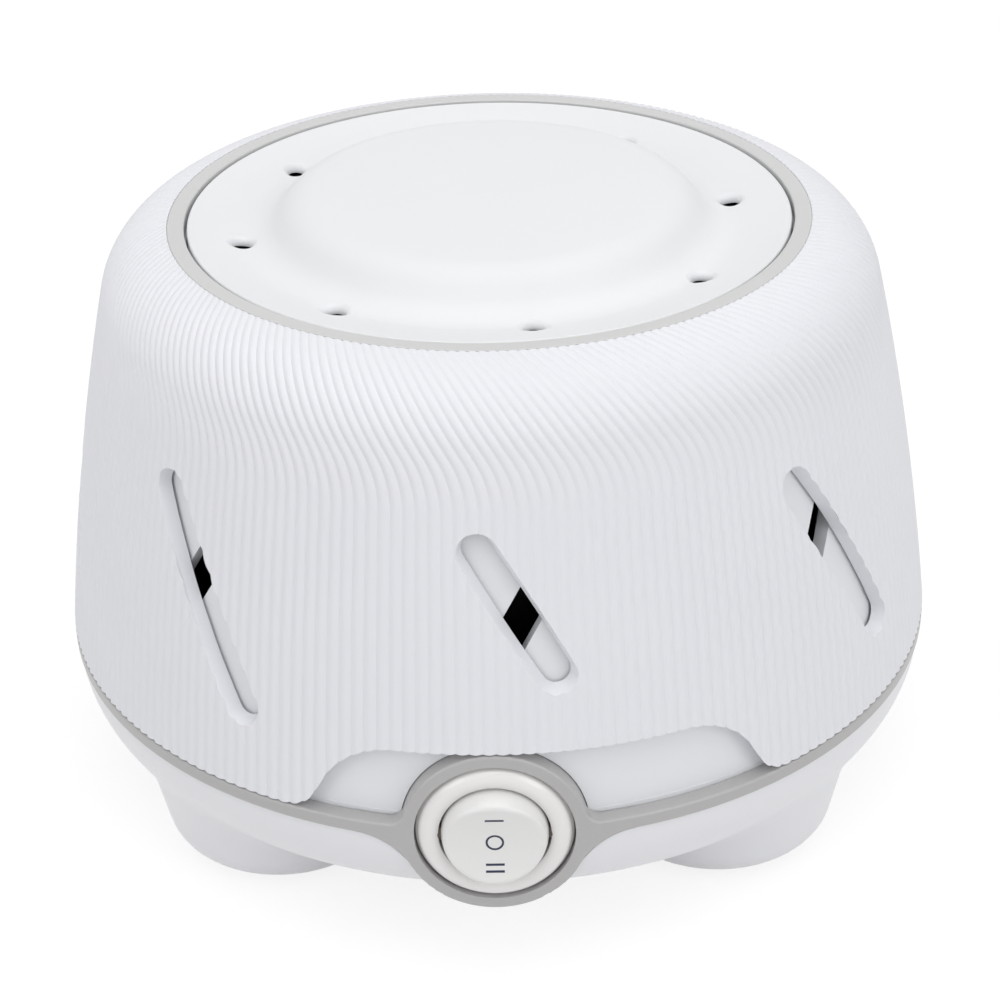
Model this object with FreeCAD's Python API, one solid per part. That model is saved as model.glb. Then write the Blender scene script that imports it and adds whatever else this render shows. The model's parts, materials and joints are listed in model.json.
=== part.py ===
import FreeCAD, Part
import math
import os
from FreeCAD import Vector

# A round fan sound machine. Millimetres and degrees, +Z up, the floor at z = 0.
# The origin is on the body's axis at floor level, and the power switch faces -Y.
# Angles around the body start at -Y, the front, and grow towards +X.

# Collar: the turning outer shell
rim_radius = 73.0
rim_height = 29.0
side_lean_angle = 6.56
side_radius = 505.0
side_arc_angle = 6.74
shoulder_radius = 12.6
shoulder_arc_angle = 59.5
crown_radius = 36.9
crown_arc_angle = 4.4
collar_wall = 2.1
collar_gap = 0.5
collar_shown_angle = 6.0

# Sound slots, in the collar and mirrored in the housing
slot_count = 8
slot_width = 6.2
slot_narrowing = 0.9
slot_lean_angle = 29.9
slot_low_rise = 10.7
slot_high_rise = 46.4
front_slot_rise = 21.3
housing_slot_width = 5.2
housing_slot_shift_angle = 2.3

# Cut-out in the collar's front edge, which leaves room for the switch bezel
cutout_half_width = 38.6
cutout_clearance = 0.3
cutout_inner_round = 12.1
cutout_corner_round = 5.1
cutout_flank_angle = 60.7

# Ring in the collar's mouth
ring_width = 2.9
ring_thickness = 1.2
lip_reach = 1.6

# Cap: the turning lid
cap_edge_gap = 0.5
cap_edge_drop = 0.2
cap_wall = 2.0
cap_dish_angle = 14.0
cap_dish_width = 7.9
cap_valley_radius = 6.0
cap_slope_angle = 50.0
cap_slope_length = 1.8
cap_brow_radius = 7.0
cap_crown_angle = 3.0
cap_hole_inset = 8.29
cap_hole_radius = 1.6
cap_sink_radius = 2.1
cap_sink_depth = 0.7
cap_hole_count = 8
cap_shown_angle = 10.1
deck_hole_lag_angle = 2.0
cap_travel_angle = 20.0

# Cap pivot
pivot_radius = 6.0
pivot_clearance = 0.08
washer_radius = 9.0
washer_thickness = 1.2
cap_screw_length = 6.5
stop_circle = 25.0
stop_radius = 1.6

# Inner housing
housing_wall = 2.2
deck_thickness = 2.2
deck_drop = 4.9
running_gap = 0.3
bead_height = 52.0
bead_radius = 0.7

# Grey band between the shells, with the switch bezel
band_height = 2.3
band_inset = 0.1
bezel_radius = 14.1
bezel_drop = 2.15
bezel_setback = 1.6
bezel_depth = 12.0
bezel_edge = 0.4
bezel_fillet_top = 2.6
bezel_fillet_low = 9.0
seam = 0.15

# Round rocker switch
flange_radius = 11.9
flange_recess = 2.2
flange_crown = 0.6
panel_hole_radius = 10.1
panel_thickness = 2.0
switch_length = 20.0
switch_wall = 0.8
rocker_radius = 8.15
rocker_opening = 8.5
rocker_pivot_depth = 1.0
rocker_reach = 4.25
rocker_dish_radius = 20.0
rocker_edge = 0.7
rocker_back = 4.0
rocker_pin_radius = 1.2
pin_clearance = 0.05
terminal_length = 6.0
terminal_spacing = 5.5

# Base bowl and its feet
base_inset = 0.4
bowl_radius = 14.5
bowl_skirt = 0.8
base_wall = 1.9
foot_inset = 24.5
foot_edge = 2.08
foot_lean_angle = 12.0
foot_round = 6.5
foot_angle = 48.0
foot_sink = 7.0
foot_blend = 6.0
pad_radius = 7.0
pad_thickness = 2.0
pad_proud = 0.8
seat_depth = 2.4

# Screws that hold the housing to the base
housing_screw_inset = 13.0
housing_screw_angles = (90.0, 158.0)
housing_boss_height = 9.0
housing_screw_length = 12.0
housing_screw_web = 1.2
screw_radius = 1.5
screw_head_radius = 2.8
screw_head_height = 1.8
boss_radius = 3.4

# Cord gland in the rear wall
gland_bore = 3.25
gland_radius = 4.6
gland_flange_radius = 6.2
gland_flange = 1.0
gland_drop = 7.9
gland_inside = 9.0
gland_pad = 0.4

# Drum around the motor and fan
drum_step = 3.01
drum_wall = 2.0
drum_port_angle = 14.0

# Motor, mounts and fan: heights, walls and fasteners
shaft_radius = 2.0
shaft_clearance = 0.03
bearing_radius = 4.0
bearing_length = 6.0
bracket_thickness = 3.0
bracket_width = 12.0
bracket_post = 4.4
bolt_radius = 1.7
bolt_head_radius = 3.2
bolt_head_height = 2.4
nut_radius = 3.4
nut_height = 2.6
stack_height = 18.0
air_gap = 0.4
end_ring = 1.5
bobbin_wall = 1.0
coil_round = 3.0
coil_tab_length = 4.0
coil_tab_lift = 4.0
shade_wire = 1.8
shade_clear = 0.2
plate_thickness = 1.6
plate_lift = 11.7
plate_arm = 12.0
mount_flange = 7.0
mount_waist = 4.4
mount_step = 2.4
mount_post = 4.5
mount_screw_length = 15.0
fan_disc = 1.6
fan_height = 15.0
fan_hub_radius = 6.0
fan_lift = 3.0
blade_thickness = 1.4
blade_angles = (0, 27, 61, 88, 122, 151, 184, 210, 243, 272, 301, 334)
lead_radius = 0.8

# How far a cutting shape reaches past what it cuts
past = 5.0


def radial(angle, radius, height):
    """The point at an angle from the front, on a radius, at a height."""
    turn = math.radians(angle)
    return Vector(radius * math.sin(turn), -radius * math.cos(turn), height)


def turned(shape, angle):
    """The shape turned about the body's axis, from the front towards +X."""
    copy = shape.copy()
    copy.rotate(Vector(0, 0, 0), Vector(0, 0, 1), angle)
    return copy


def cylinder(radius, low, high, x=0.0, y=0.0):
    return Part.makeCylinder(radius, high - low, Vector(x, y, low))


def tube(outer, inner, low, high, x=0.0, y=0.0):
    return cylinder(outer, low, high, x, y).cut(cylinder(inner, low, high, x, y))


def rod_y(radius, front, back, x, z):
    """A cylinder along Y from front to back, two values of y."""
    return Part.makeCylinder(radius, back - front, Vector(x, front, z), Vector(0, 1, 0))


def block(low, high):
    """A box between two corners."""
    size = Vector(*high) - Vector(*low)
    return Part.makeBox(size.x, size.y, size.z, Vector(*low))


def fused(shapes):
    """One solid of shapes that overlap."""
    whole = shapes[0]
    for shape in shapes[1:]:
        whole = whole.fuse(shape)
    return whole.removeSplitter()


def cut_all(shape, tools):
    for tool in tools:
        shape = shape.cut(tool)
    return shape


def polygon_edges(points):
    """Straight edges through the points in turn."""
    return [Part.LineSegment(a, b).toShape() for a, b in zip(points, points[1:])]


def heading(angle):
    turn = math.radians(angle)
    return Vector(math.cos(turn), 0, math.sin(turn))


def profile(start, angle, moves, inset=0.0):
    """Edges of a line in the XZ plane, moved to its left by inset.

    A move is (radius, turn), positive to the left, or (length, 0).
    """
    edges = []
    point = start
    for size, turn in moves:
        if turn == 0:
            side = heading(angle + 90) * inset
            after = point + heading(angle) * size
            edges.append(Part.LineSegment(point + side, after + side).toShape())
            point = after
            continue
        sign = math.copysign(1, turn)
        centre = point + heading(angle + 90) * (sign * size)
        arm = size - sign * inset
        along = [centre - heading(angle + 90 + share * turn) * (sign * arm) for share in (0, 0.5, 1)]
        edges.append(Part.Arc(*along).toShape())
        angle = angle + turn
        point = centre - heading(angle + 90) * (sign * size)
    return edges


def ends(edges):
    """First and last point of a run of edges that were made in order."""
    return edges[0].valueAt(edges[0].FirstParameter), edges[-1].valueAt(edges[-1].LastParameter)


def spun(edges, axis=Vector(0, 0, 1), centre=Vector(0, 0, 0)):
    """The solid of revolution of a closed outline."""
    wire = Part.Wire(Part.__sortEdges__(edges))
    return Part.Face(wire).revolve(centre, axis, 360)


def skin(inset):
    """The collar's outer line from rim to mouth, moved inwards by inset."""
    moves = ((side_radius, side_arc_angle), (shoulder_radius, shoulder_arc_angle), (crown_radius, crown_arc_angle))
    return profile(Vector(rim_radius, 0, rim_height), 90 + side_lean_angle, moves, inset)


def shell(outer_inset, inner_inset):
    """A domed wall between two insets from the collar's outer line."""
    outer = skin(outer_inset)
    inner = skin(inner_inset)
    joins = [Part.LineSegment(a, b).toShape() for a, b in zip(ends(outer), ends(inner))]
    return spun(outer + inner + joins)


mouth = ends(skin(0))[1]
housing_inset = collar_wall + collar_gap
deck_top = mouth.z - deck_drop
deck_bottom = deck_top - deck_thickness
band_top = rim_height - running_gap
band_bottom = band_top - band_height
bezel_z = rim_height - bezel_drop
cutout_top = bezel_z + bezel_radius + cutout_clearance
housing_foot = Vector(*ends(skin(housing_inset))[0])
ring_inner = mouth.x - ring_width
cap_radius = ring_inner - cap_edge_gap
cap_hole_circle = cap_radius - cap_hole_inset
base_radius = rim_radius - base_inset
bowl_bottom = band_bottom - bowl_skirt - bowl_radius
floor = bowl_bottom + base_wall
seat_height = band_bottom - seat_depth
slot_low = rim_height + slot_low_rise
slot_high = rim_height + slot_high_rise
front_slot_low = rim_height + front_slot_rise
bezel_front = rim_radius - bezel_setback
housing_screw_circle = rim_radius - housing_screw_inset
gland_height = band_bottom - gland_drop
drum_radius = mouth.x + drum_step
plate_height = floor + plate_lift

foot_circle = base_radius - foot_inset
foot_top = band_bottom - foot_sink
foot_side = math.radians(foot_lean_angle)
foot_rise = foot_top - pad_proud - foot_round * (1 - math.sin(foot_side))
foot_top_radius = base_radius - foot_circle - foot_edge
foot_radius = foot_top_radius - foot_rise * math.tan(foot_side) + foot_round * (1 - math.cos(foot_side))

# Motor and fan in plan, as parts of the drum's radius inside
drum_inside = drum_radius - drum_wall
hub_radius = 0.1333 * drum_inside
bolt_reach = 0.3810 * drum_inside
bolt_offset = 0.1905 * drum_inside
stack_half_width = 0.4762 * drum_inside
stack_front = 0.4190 * drum_inside
limb = 0.1714 * drum_inside
rotor_radius = 0.2476 * drum_inside
coil_leg_near = 0.5714 * drum_inside
coil_leg_far = 0.7619 * drum_inside
coil_depth = 0.1143 * drum_inside
coil_half_length = 0.2667 * drum_inside
shade_strip = 0.0952 * drum_inside
shade_offset = 0.0857 * drum_inside
shade_near = 0.0571 * drum_inside
shade_far = 0.1905 * drum_inside
plate_disc = 0.5714 * drum_inside
mount_circle = 0.8381 * drum_inside
fan_radius = 0.8381 * drum_inside
blade_inner = 0.3810 * drum_inside
blade_curve = 0.5714 * drum_inside
lead_circle = 0.8381 * drum_inside


def side_radius_at(height):
    """Radius of the collar's side at a height."""
    centre = Vector(rim_radius, 0, rim_height) + heading(180 + side_lean_angle) * side_radius
    return centre.x + math.sqrt(side_radius ** 2 - (height - centre.z) ** 2)


def slot_wire(lean, low, high, inset, place):
    """A slanted slot's outline at the front, with each point's depth from place."""
    middle = (slot_low + slot_high) / 2
    slope = math.tan(math.radians(lean))
    half = slot_width / 2 - inset
    low_mid = Vector((middle - low - slot_width / 2) * slope, 0, low + slot_width / 2)
    high_mid = Vector((middle - high + slot_width / 2) * slope, 0, high - slot_width / 2)
    tip = (high_mid - low_mid).normalize() * half
    side = tip.cross(Vector(0, 1, 0))
    runs = [[low_mid + side + (high_mid - low_mid) * (step / 12) for step in range(13)],
            [high_mid + side * math.cos(turn) + tip * math.sin(turn) for turn in half_turn()],
            [high_mid - side + (low_mid - high_mid) * (step / 12) for step in range(13)],
            [low_mid - side * math.cos(turn) - tip * math.sin(turn) for turn in half_turn()]]
    edges = []
    for run in runs:
        curve = Part.BSplineCurve()
        curve.interpolate([Vector(point.x, place(point), point.z) for point in run])
        edges.append(curve.toShape())
    return Part.Wire(edges)


def half_turn():
    return [math.pi * step / 12 for step in range(13)]


def collar_slot(low):
    """A slot that narrows from the collar's outer face to its inner face."""
    def at_depth(depth):
        return lambda point: depth - math.sqrt(side_radius_at(point.z) ** 2 - point.x ** 2)

    taper = slot_narrowing / collar_wall
    front, back = -0.3, collar_wall + 0.2
    wires = [slot_wire(slot_lean_angle, low, slot_high, front * taper, lambda point: -rim_radius - past),
             slot_wire(slot_lean_angle, low, slot_high, front * taper, at_depth(front)),
             slot_wire(slot_lean_angle, low, slot_high, back * taper, at_depth(back)),
             slot_wire(slot_lean_angle, low, slot_high, back * taper, lambda point: -drum_radius - 1)]
    return Part.makeLoft(wires, True, True)


def housing_slot(low):
    """A straight slot through the housing that leans against the collar's."""
    inset = (slot_width - housing_slot_width) / 2
    wire = slot_wire(-slot_lean_angle, low, slot_high, inset, lambda point: -rim_radius - past)
    return Part.Face(wire).extrude(Vector(0, rim_radius + past - drum_radius - 1, 0))


def slot_ring(tool, shift):
    """A slot tool at each place around the body, the front one short, turned by shift."""
    return [turned(tool(slot_low if index else front_slot_low), shift + index * 360 / slot_count)
            for index in range(slot_count)]


def cutout_tool():
    """The front cut-out of the collar, flat on top with a curved flank each side."""
    flank = cutout_flank_angle
    rise = cutout_top - rim_height
    corner_rise = cutout_corner_round * (1 - math.cos(math.radians(flank)))
    inner_rise = cutout_inner_round * (1 - math.cos(math.radians(flank)))
    straight = (rise - corner_rise - inner_rise) / math.sin(math.radians(flank))
    moves = ((cutout_corner_round, -flank), (straight, 0), (cutout_inner_round, flank))
    right = profile(Vector(cutout_half_width, 0, rim_height), 180, moves)
    left = [edge.mirror(Vector(0, 0, 0), Vector(1, 0, 0)) for edge in right]
    start, end = ends(right)
    below = rim_height - past
    closing = polygon_edges([end, Vector(-end.x, 0, end.z)])
    closing += polygon_edges([
        start, Vector(start.x, 0, below), Vector(-start.x, 0, below), Vector(-start.x, 0, start.z)])
    face = Part.Face(Part.Wire(Part.__sortEdges__(right + left + closing)))
    face.translate(Vector(0, -rim_radius - past, 0))
    return face.extrude(Vector(0, rim_radius, 0))


def bead(inset, radius):
    """A round bead that runs around the wall at the given inset."""
    wall = shell(inset, inset + 1)
    at = wall.slice(Vector(0, 0, 1), rim_height + bead_height)[0]
    return Part.makeTorus(at.BoundBox.XMax, radius, Vector(0, 0, rim_height + bead_height))


def collar():
    lip = tube(mouth.x + 1.5, mouth.x - lip_reach, mouth.z - collar_wall, mouth.z - ring_thickness)
    body = fused([shell(0, collar_wall), lip])
    below = cylinder(rim_radius + past, rim_height - past, rim_height)
    rebate = cylinder(mouth.x, mouth.z - ring_thickness, mouth.z + past)
    groove = bead(housing_inset, bead_radius + running_gap)
    body = cut_all(body, [below, rebate, groove])
    tools = slot_ring(collar_slot, 0) + [cutout_tool()]
    return turned(cut_all(body, tools), collar_shown_angle)


def top_trim_ring():
    """A flat ring on the collar's lip, with a skirt inside it."""
    top = tube(mouth.x, ring_inner, mouth.z - ring_thickness, mouth.z)
    skirt = tube(mouth.x - lip_reach, ring_inner, mouth.z - ring_thickness - 1, mouth.z)
    return fused([top, skirt])


def cap_line(inset):
    """The cap's top line from its edge to the axis, moved down by inset."""
    start = Vector(cap_radius, 0, mouth.z - cap_edge_drop)
    moves = [
        (cap_dish_width, 0),
        (cap_valley_radius, -cap_dish_angle - cap_slope_angle),
        (cap_slope_length, 0),
        (cap_brow_radius, cap_slope_angle - cap_crown_angle),
    ]
    edge = ends(profile(start, 180 + cap_dish_angle, moves))[1]
    crown = edge.x / math.sin(math.radians(cap_crown_angle))
    return profile(start, 180 + cap_dish_angle, moves + [(crown, cap_crown_angle)], inset)


def cap():
    top = cap_line(0)
    under = cap_line(cap_wall)
    edge, middle = ends(top)
    under_edge, under_middle = ends(under)
    joins = polygon_edges([edge, under_edge]) + polygon_edges([middle, under_middle])
    dish = spun(top + under + joins)
    skirt_low = deck_top + running_gap
    skirt = tube(cap_radius, cap_radius - cap_wall, skirt_low, edge.z - 0.7)
    boss_low = deck_bottom - running_gap
    boss = cylinder(pivot_radius, boss_low, under_middle.z + 0.5)
    foot = radial(0, stop_circle, 0)
    stop = cylinder(stop_radius, deck_bottom + 0.4, under_middle.z, foot.x, foot.y)
    body = fused([dish, skirt, boss, stop])
    outside = tube(cap_radius + past, cap_radius, deck_bottom, edge.z + past)
    body = cut_all(body, [outside, cylinder(screw_radius, boss_low, deck_top + 3)])
    hole_top = mouth.z
    for index in range(cap_hole_count):
        at = radial(cap_shown_angle + index * 360 / cap_hole_count, cap_hole_circle, 0)
        body = body.cut(cylinder(cap_hole_radius, deck_top, hole_top, at.x, at.y))
        dish_z = cap_dish_height(cap_hole_circle)
        cone = Part.makeCone(cap_hole_radius, cap_sink_radius + 1, cap_sink_depth + 1,
                             Vector(at.x, at.y, dish_z - cap_sink_depth))
        body = body.cut(cone)
    return body


def cap_dish_height(radius):
    """Height of the cap's top on its sloping dish."""
    fall = (cap_radius - radius) * math.tan(math.radians(cap_dish_angle))
    return mouth.z - cap_edge_drop - fall


def cap_washer():
    high = deck_bottom - running_gap
    return tube(washer_radius, screw_radius, high - washer_thickness, high)


def pan_screw(top, head_down, length, x=0.0, y=0.0):
    """A pan-head screw whose head seat is at height top."""
    if head_down:
        head = cylinder(screw_head_radius, top - screw_head_height, top, x, y)
        return fused([head, cylinder(screw_radius, top - 0.5, top + length, x, y)])
    head = cylinder(screw_head_radius, top, top + screw_head_height, x, y)
    return fused([head, cylinder(screw_radius, top - length, top + 0.5, x, y)])


def cap_screw():
    seat = deck_bottom - running_gap - washer_thickness
    return pan_screw(seat, True, cap_screw_length)


def housing_bosses():
    """Screw columns inside the housing wall, each with a rib to the wall."""
    rib_length = housing_foot.x - housing_wall / 2 - housing_screw_circle
    solids = []
    for side in (-1, 1):
        for angle in housing_screw_angles:
            at = radial(side * angle, housing_screw_circle, 0)
            column = cylinder(boss_radius, floor, rim_height + housing_boss_height, at.x, at.y)
            rib = block((0, -1, seat_height + 0.2), (rib_length, 1, rim_height + housing_boss_height))
            rib.translate(Vector(housing_screw_circle, 0, 0))
            rib.rotate(Vector(0, 0, 0), Vector(0, 0, 1), side * angle - 90)
            solids.append(fused([column, rib]).common(bowl(base_wall, rim_height + housing_boss_height + past)))
    return solids


def inner_housing():
    foot_outer = housing_foot.x
    dome = shell(housing_inset, housing_inset + housing_wall)
    deck = cylinder(mouth.x - 0.9, deck_bottom, deck_top)
    end = ends(skin(housing_inset))[1]
    curb = tube(mouth.x - 0.9, ring_inner - 0.1, deck_bottom, end.z)
    foot = tube(foot_outer, foot_outer - housing_wall, seat_height, rim_height + 0.4)
    body = fused([dome, deck, curb, foot, bead(housing_inset, bead_radius)])
    outside = tube(rim_radius + past, foot_outer, floor, rim_height - 0.1)
    bosses = [boss.cut(outside) for boss in housing_bosses()]
    body = fused([body] + bosses)
    tools = slot_ring(housing_slot, housing_slot_shift_angle)
    for index in range(cap_hole_count):
        angle = cap_shown_angle + deck_hole_lag_angle + index * 360 / cap_hole_count
        at = radial(angle, cap_hole_circle, 0)
        tools.append(cylinder(cap_hole_radius, deck_bottom, deck_top, at.x, at.y))
    tools.append(cylinder(pivot_radius + pivot_clearance, deck_bottom, deck_top))
    tools.append(stop_slot())
    tools.append(bezel_form(seam))
    for at in housing_screw_places():
        tools.append(cylinder(screw_radius, floor, rim_height + 2, at.x, at.y))
    return cut_all(body, tools)


def housing_screw_places():
    return [radial(side * angle, housing_screw_circle, 0)
            for side in (-1, 1) for angle in housing_screw_angles]


def stop_slot():
    """The curved slot that the cap's stop travels in."""
    half = cap_travel_angle + math.degrees((stop_radius + running_gap) / stop_circle)
    width = stop_radius + running_gap
    ring = tube(stop_circle + width, stop_circle - width, deck_bottom, deck_top)
    wedge = Part.makeCylinder(stop_circle + past, deck_thickness, Vector(0, 0, deck_bottom),
                              Vector(0, 0, 1), 2 * half)
    wedge.rotate(Vector(0, 0, 0), Vector(0, 0, 1), -90 - half)
    return ring.common(wedge)


def web(side, grow):
    """The flat shape that flows from the band into the bezel, on one side."""
    radius = bezel_radius + grow
    top = band_top + grow
    low = band_bottom - grow
    fillet_top = bezel_fillet_top - grow
    fillet_low = bezel_fillet_low - grow
    centre = Vector(0, 0, bezel_z)

    def tangent(line_z, fillet, up):
        middle_z = line_z + up * fillet
        reach = math.sqrt((radius + fillet) ** 2 - (middle_z - bezel_z) ** 2)
        middle = Vector(reach, 0, middle_z)
        on_line = Vector(reach, 0, line_z)
        on_ring = centre + (middle - centre) * (radius / (radius + fillet))
        toward = ((on_line - middle).normalize() + (on_ring - middle).normalize()).normalize()
        return on_line, middle + toward * fillet, on_ring

    line_a, mid_a, ring_a = tangent(top, fillet_top, 1)
    line_b, mid_b, ring_b = tangent(low, fillet_low, -1)
    edges = [
        Part.Arc(line_a, mid_a, ring_a).toShape(),
        Part.LineSegment(ring_a, centre).toShape(),
        Part.LineSegment(centre, ring_b).toShape(),
        Part.Arc(ring_b, mid_b, line_b).toShape(),
    ]
    edges += polygon_edges([line_b, Vector(line_b.x, 0, top), line_a])
    face = Part.Face(Part.Wire(edges))
    face.translate(Vector(0, -rim_radius - past, 0))
    solid = face.extrude(Vector(0, bezel_depth + 2 * past, 0))
    if side < 0:
        solid = solid.mirror(Vector(0, 0, 0), Vector(1, 0, 0))
    return solid


def bezel_form(grow):
    """The bezel's barrel and its two webs, grown by a seam for the parts around it."""
    barrel = rod_y(bezel_radius + grow, -rim_radius - past, -bezel_front + bezel_depth + grow, 0, bezel_z)
    wall = tube(rim_radius, housing_foot.x + band_inset - grow, pad_proud, cutout_top + past)
    webs = [web(side, grow).common(wall) for side in (-1, 1)]
    return fused([barrel] + webs)


def trim_band():
    ring = tube(rim_radius, housing_foot.x + band_inset, band_bottom, band_top)
    body = fused([ring, bezel_form(0)])
    wide = bezel_radius + past
    body = body.cut(block((-wide, -rim_radius - 2 * past, 0), (wide, -bezel_front, cutout_top + past)))
    recess = rod_y(flange_radius + 0.25, -bezel_front - 1, -bezel_front + flange_recess, 0, bezel_z)
    hole = rod_y(panel_hole_radius, -bezel_front - 1, 0, 0, bezel_z)
    behind = rod_y(bezel_radius - 1.6, -bezel_front + flange_recess + panel_thickness, 0, 0, bezel_z)
    body = cut_all(body, [recess, hole, behind])
    return body.makeFillet(bezel_edge, [edge for edge in body.Edges if borders_front(edge)])


def borders_front(edge):
    """Whether an edge of the band runs along its outer face, above or below."""
    at_recess = isinstance(edge.Curve, Part.Circle) and edge.Curve.Radius < bezel_radius - 0.5
    upright = edge.BoundBox.XLength < 0.05
    if at_recess or upright:
        return False
    for share in (0.02, 0.5, 0.98):
        at = edge.valueAt(edge.FirstParameter + share * (edge.LastParameter - edge.FirstParameter))
        on_wall = abs(math.hypot(at.x, at.y) - rim_radius) < 0.02
        if not on_wall and abs(at.y + bezel_front) > 0.01:
            return False
    return True


def switch_housing():
    """Flange ring and round body of the rocker switch, open at the front."""
    seat = -bezel_front + flange_recess
    front = -bezel_front - flange_crown
    crown = (flange_radius + rocker_opening) / 2
    outline = polygon_edges([
        Vector(flange_radius - 0.3, front + 1.3, 0), Vector(flange_radius, front + 1.7, 0),
        Vector(flange_radius, seat, 0), Vector(rocker_opening, seat, 0),
        Vector(rocker_opening, front + 0.5, 0)])
    top = Part.Arc(Vector(rocker_opening, front + 0.5, 0), Vector(crown, front, 0),
                   Vector(flange_radius - 0.3, front + 1.3, 0)).toShape()
    ring = spun(outline + [top], axis=Vector(0, 1, 0))
    ring.translate(Vector(0, 0, bezel_z))
    body_radius = panel_hole_radius - 0.1
    body = rod_y(body_radius, seat, seat + switch_length, 0, bezel_z)
    pocket = rod_y(body_radius - switch_wall, seat, pivot_y() + rocker_radius + 0.6, 0, bezel_z)
    mouth_hole = rod_y(rocker_opening, front - 1, seat + 0.1, 0, bezel_z)
    pin_hole = Part.makeCylinder(rocker_pin_radius, 2 * body_radius + 2,
                                 Vector(-body_radius - 1, pivot_y(), bezel_z), Vector(1, 0, 0))
    solid = cut_all(fused([ring, body]), [pocket, mouth_hole])
    return solid.cut(pin_hole.common(rod_y(body_radius - 0.2, front, seat + 8, 0, bezel_z)))


def pivot_y():
    return -bezel_front + rocker_pivot_depth


def rocker_pin():
    half = panel_hole_radius - 0.5
    return Part.makeCylinder(rocker_pin_radius, 2 * half, Vector(-half, pivot_y(), bezel_z),
                             Vector(1, 0, 0))


def switch_rocker():
    """A ball-sided rocker with a dished face, on a pin across the switch."""
    ball = Part.makeSphere(rocker_radius, Vector(0, pivot_y(), bezel_z), Vector(0, 1, 0))
    front = pivot_y() - rocker_reach
    edge_z = math.sqrt(rocker_radius ** 2 - rocker_reach ** 2)
    dish_depth = rocker_dish_radius - math.sqrt(rocker_dish_radius ** 2 - edge_z ** 2)
    axis_y = front + dish_depth - rocker_dish_radius
    wide = rocker_radius + past
    dish = Part.makeCylinder(rocker_dish_radius, 2 * wide, Vector(-wide, axis_y, bezel_z),
                             Vector(1, 0, 0))
    ahead = block((-wide, front - past, bezel_z - wide), (wide, front, bezel_z + wide))
    behind = block((-wide, pivot_y() + rocker_back, bezel_z - wide), (wide, 0, bezel_z + wide))
    body = cut_all(ball, [dish, ahead, behind])
    face_edges = [edge for edge in body.Edges if edge.BoundBox.YMax < pivot_y() - 1
                  and edge.BoundBox.ZLength > edge_z]
    body = body.makeFillet(rocker_edge, face_edges)
    bore = Part.makeCylinder(rocker_pin_radius + pin_clearance, 2 * wide,
                             Vector(-wide, pivot_y(), bezel_z), Vector(1, 0, 0))
    return body.cut(bore)


def terminal_places():
    back = -bezel_front + flange_recess + switch_length
    return [Vector(0, back, bezel_z + step * terminal_spacing) for step in (-1, 0, 1)]


def switch_terminals():
    tabs = []
    for at in terminal_places():
        tabs.append(block((at.x - 2.4, at.y, at.z - 0.4), (at.x + 2.4, at.y + terminal_length, at.z + 0.4)))
    return Part.makeCompound(tabs)


def foot_places(circle):
    return [radial(side * angle, circle, 0)
            for side in (-1, 1) for angle in (foot_angle, 180 - foot_angle)]


def foot_form(inset, bottom, at):
    """A leaning round foot that widens upwards, with a rounded sole."""
    radius = foot_radius - inset
    rounding = foot_round - inset
    turn = 90 - foot_lean_angle
    sole = radius - rounding
    moves = ((sole, 0), (rounding, turn))
    start = Vector(0, 0, bottom)
    edges = profile(start, 0, moves)
    end = ends(edges)[1]
    side_top = Vector(end.x + (foot_top - end.z) * math.tan(foot_side), 0, foot_top)
    edges += polygon_edges([end, side_top, Vector(0, 0, foot_top), start])
    solid = spun(edges)
    solid.translate(at)
    return solid


def bowl(inset, high):
    """The base's bowl, filled, moved inwards by inset."""
    radius = base_radius - inset
    round_radius = bowl_radius - inset
    start = Vector(0, 0, bowl_bottom + inset)
    moves = ((radius - round_radius, 0), (round_radius, 90))
    edges = profile(start, 0, moves)
    end = ends(edges)[1]
    edges += polygon_edges([end, Vector(end.x, 0, high), Vector(0, 0, high), start])
    return spun(edges)


def base():
    outer = bowl(0, band_bottom)
    feet = [foot_form(0, pad_proud, at) for at in foot_places(foot_circle)]
    body = fused([outer] + feet)
    seams = []
    for edge in body.Edges:
        round_edge = isinstance(edge.Curve, Part.Circle)
        at_foot = round_edge and abs(edge.Curve.Center.z - bowl_bottom) < 0.01
        at_foot = at_foot and math.hypot(edge.Curve.Center.x, edge.Curve.Center.y) > 1
        if isinstance(edge.Curve, Part.BSplineCurve) or at_foot:
            seams.append(edge)
    body = body.makeFillet(foot_blend, seams)
    inside = [bowl(base_wall, band_bottom + 1)]
    inside += [foot_form(base_wall, pad_proud + base_wall, at) for at in foot_places(foot_circle)]
    body = body.cut(fused(inside))
    step = tube(base_radius - 1, housing_foot.x - housing_wall - 0.6, seat_height - 5, seat_height)
    body = fused([body, step.common(bowl(0.5, band_bottom))])
    posts = [cylinder(mount_post, pad_proud + 1, plate_height - mount_step, at.x, at.y)
             for at in foot_places(mount_circle)]
    pad = rod_y(gland_flange_radius + 1, base_radius - past, base_radius + gland_pad, 0, gland_height)
    body = fused([body] + posts + [pad.cut(bowl(0.5, band_bottom))])
    tools = [bezel_form(seam)]
    tools.append(rod_y(gland_radius + 0.05, base_radius - gland_inside - past, base_radius + past, 0, gland_height))
    for at in foot_places(foot_circle):
        tools.append(cylinder(pad_radius, pad_proud - 1, pad_thickness, at.x, at.y))
    for at in foot_places(mount_circle):
        tools.append(cylinder(screw_radius, plate_height - mount_screw_length, plate_height, at.x, at.y))
    for at in housing_screw_places():
        tools.append(cylinder(screw_radius + 0.2, 0, floor + 1, at.x, at.y))
        tools.append(cylinder(screw_head_radius + 0.3, 0, floor - housing_screw_web, at.x, at.y))
    return cut_all(body, tools)


def foot_pads():
    return Part.makeCompound([cylinder(pad_radius, 0, pad_thickness, at.x, at.y)
                              for at in foot_places(foot_circle)])


def housing_screws():
    return Part.makeCompound([pan_screw(floor - housing_screw_web, True, housing_screw_length, at.x, at.y)
                              for at in housing_screw_places()])


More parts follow.
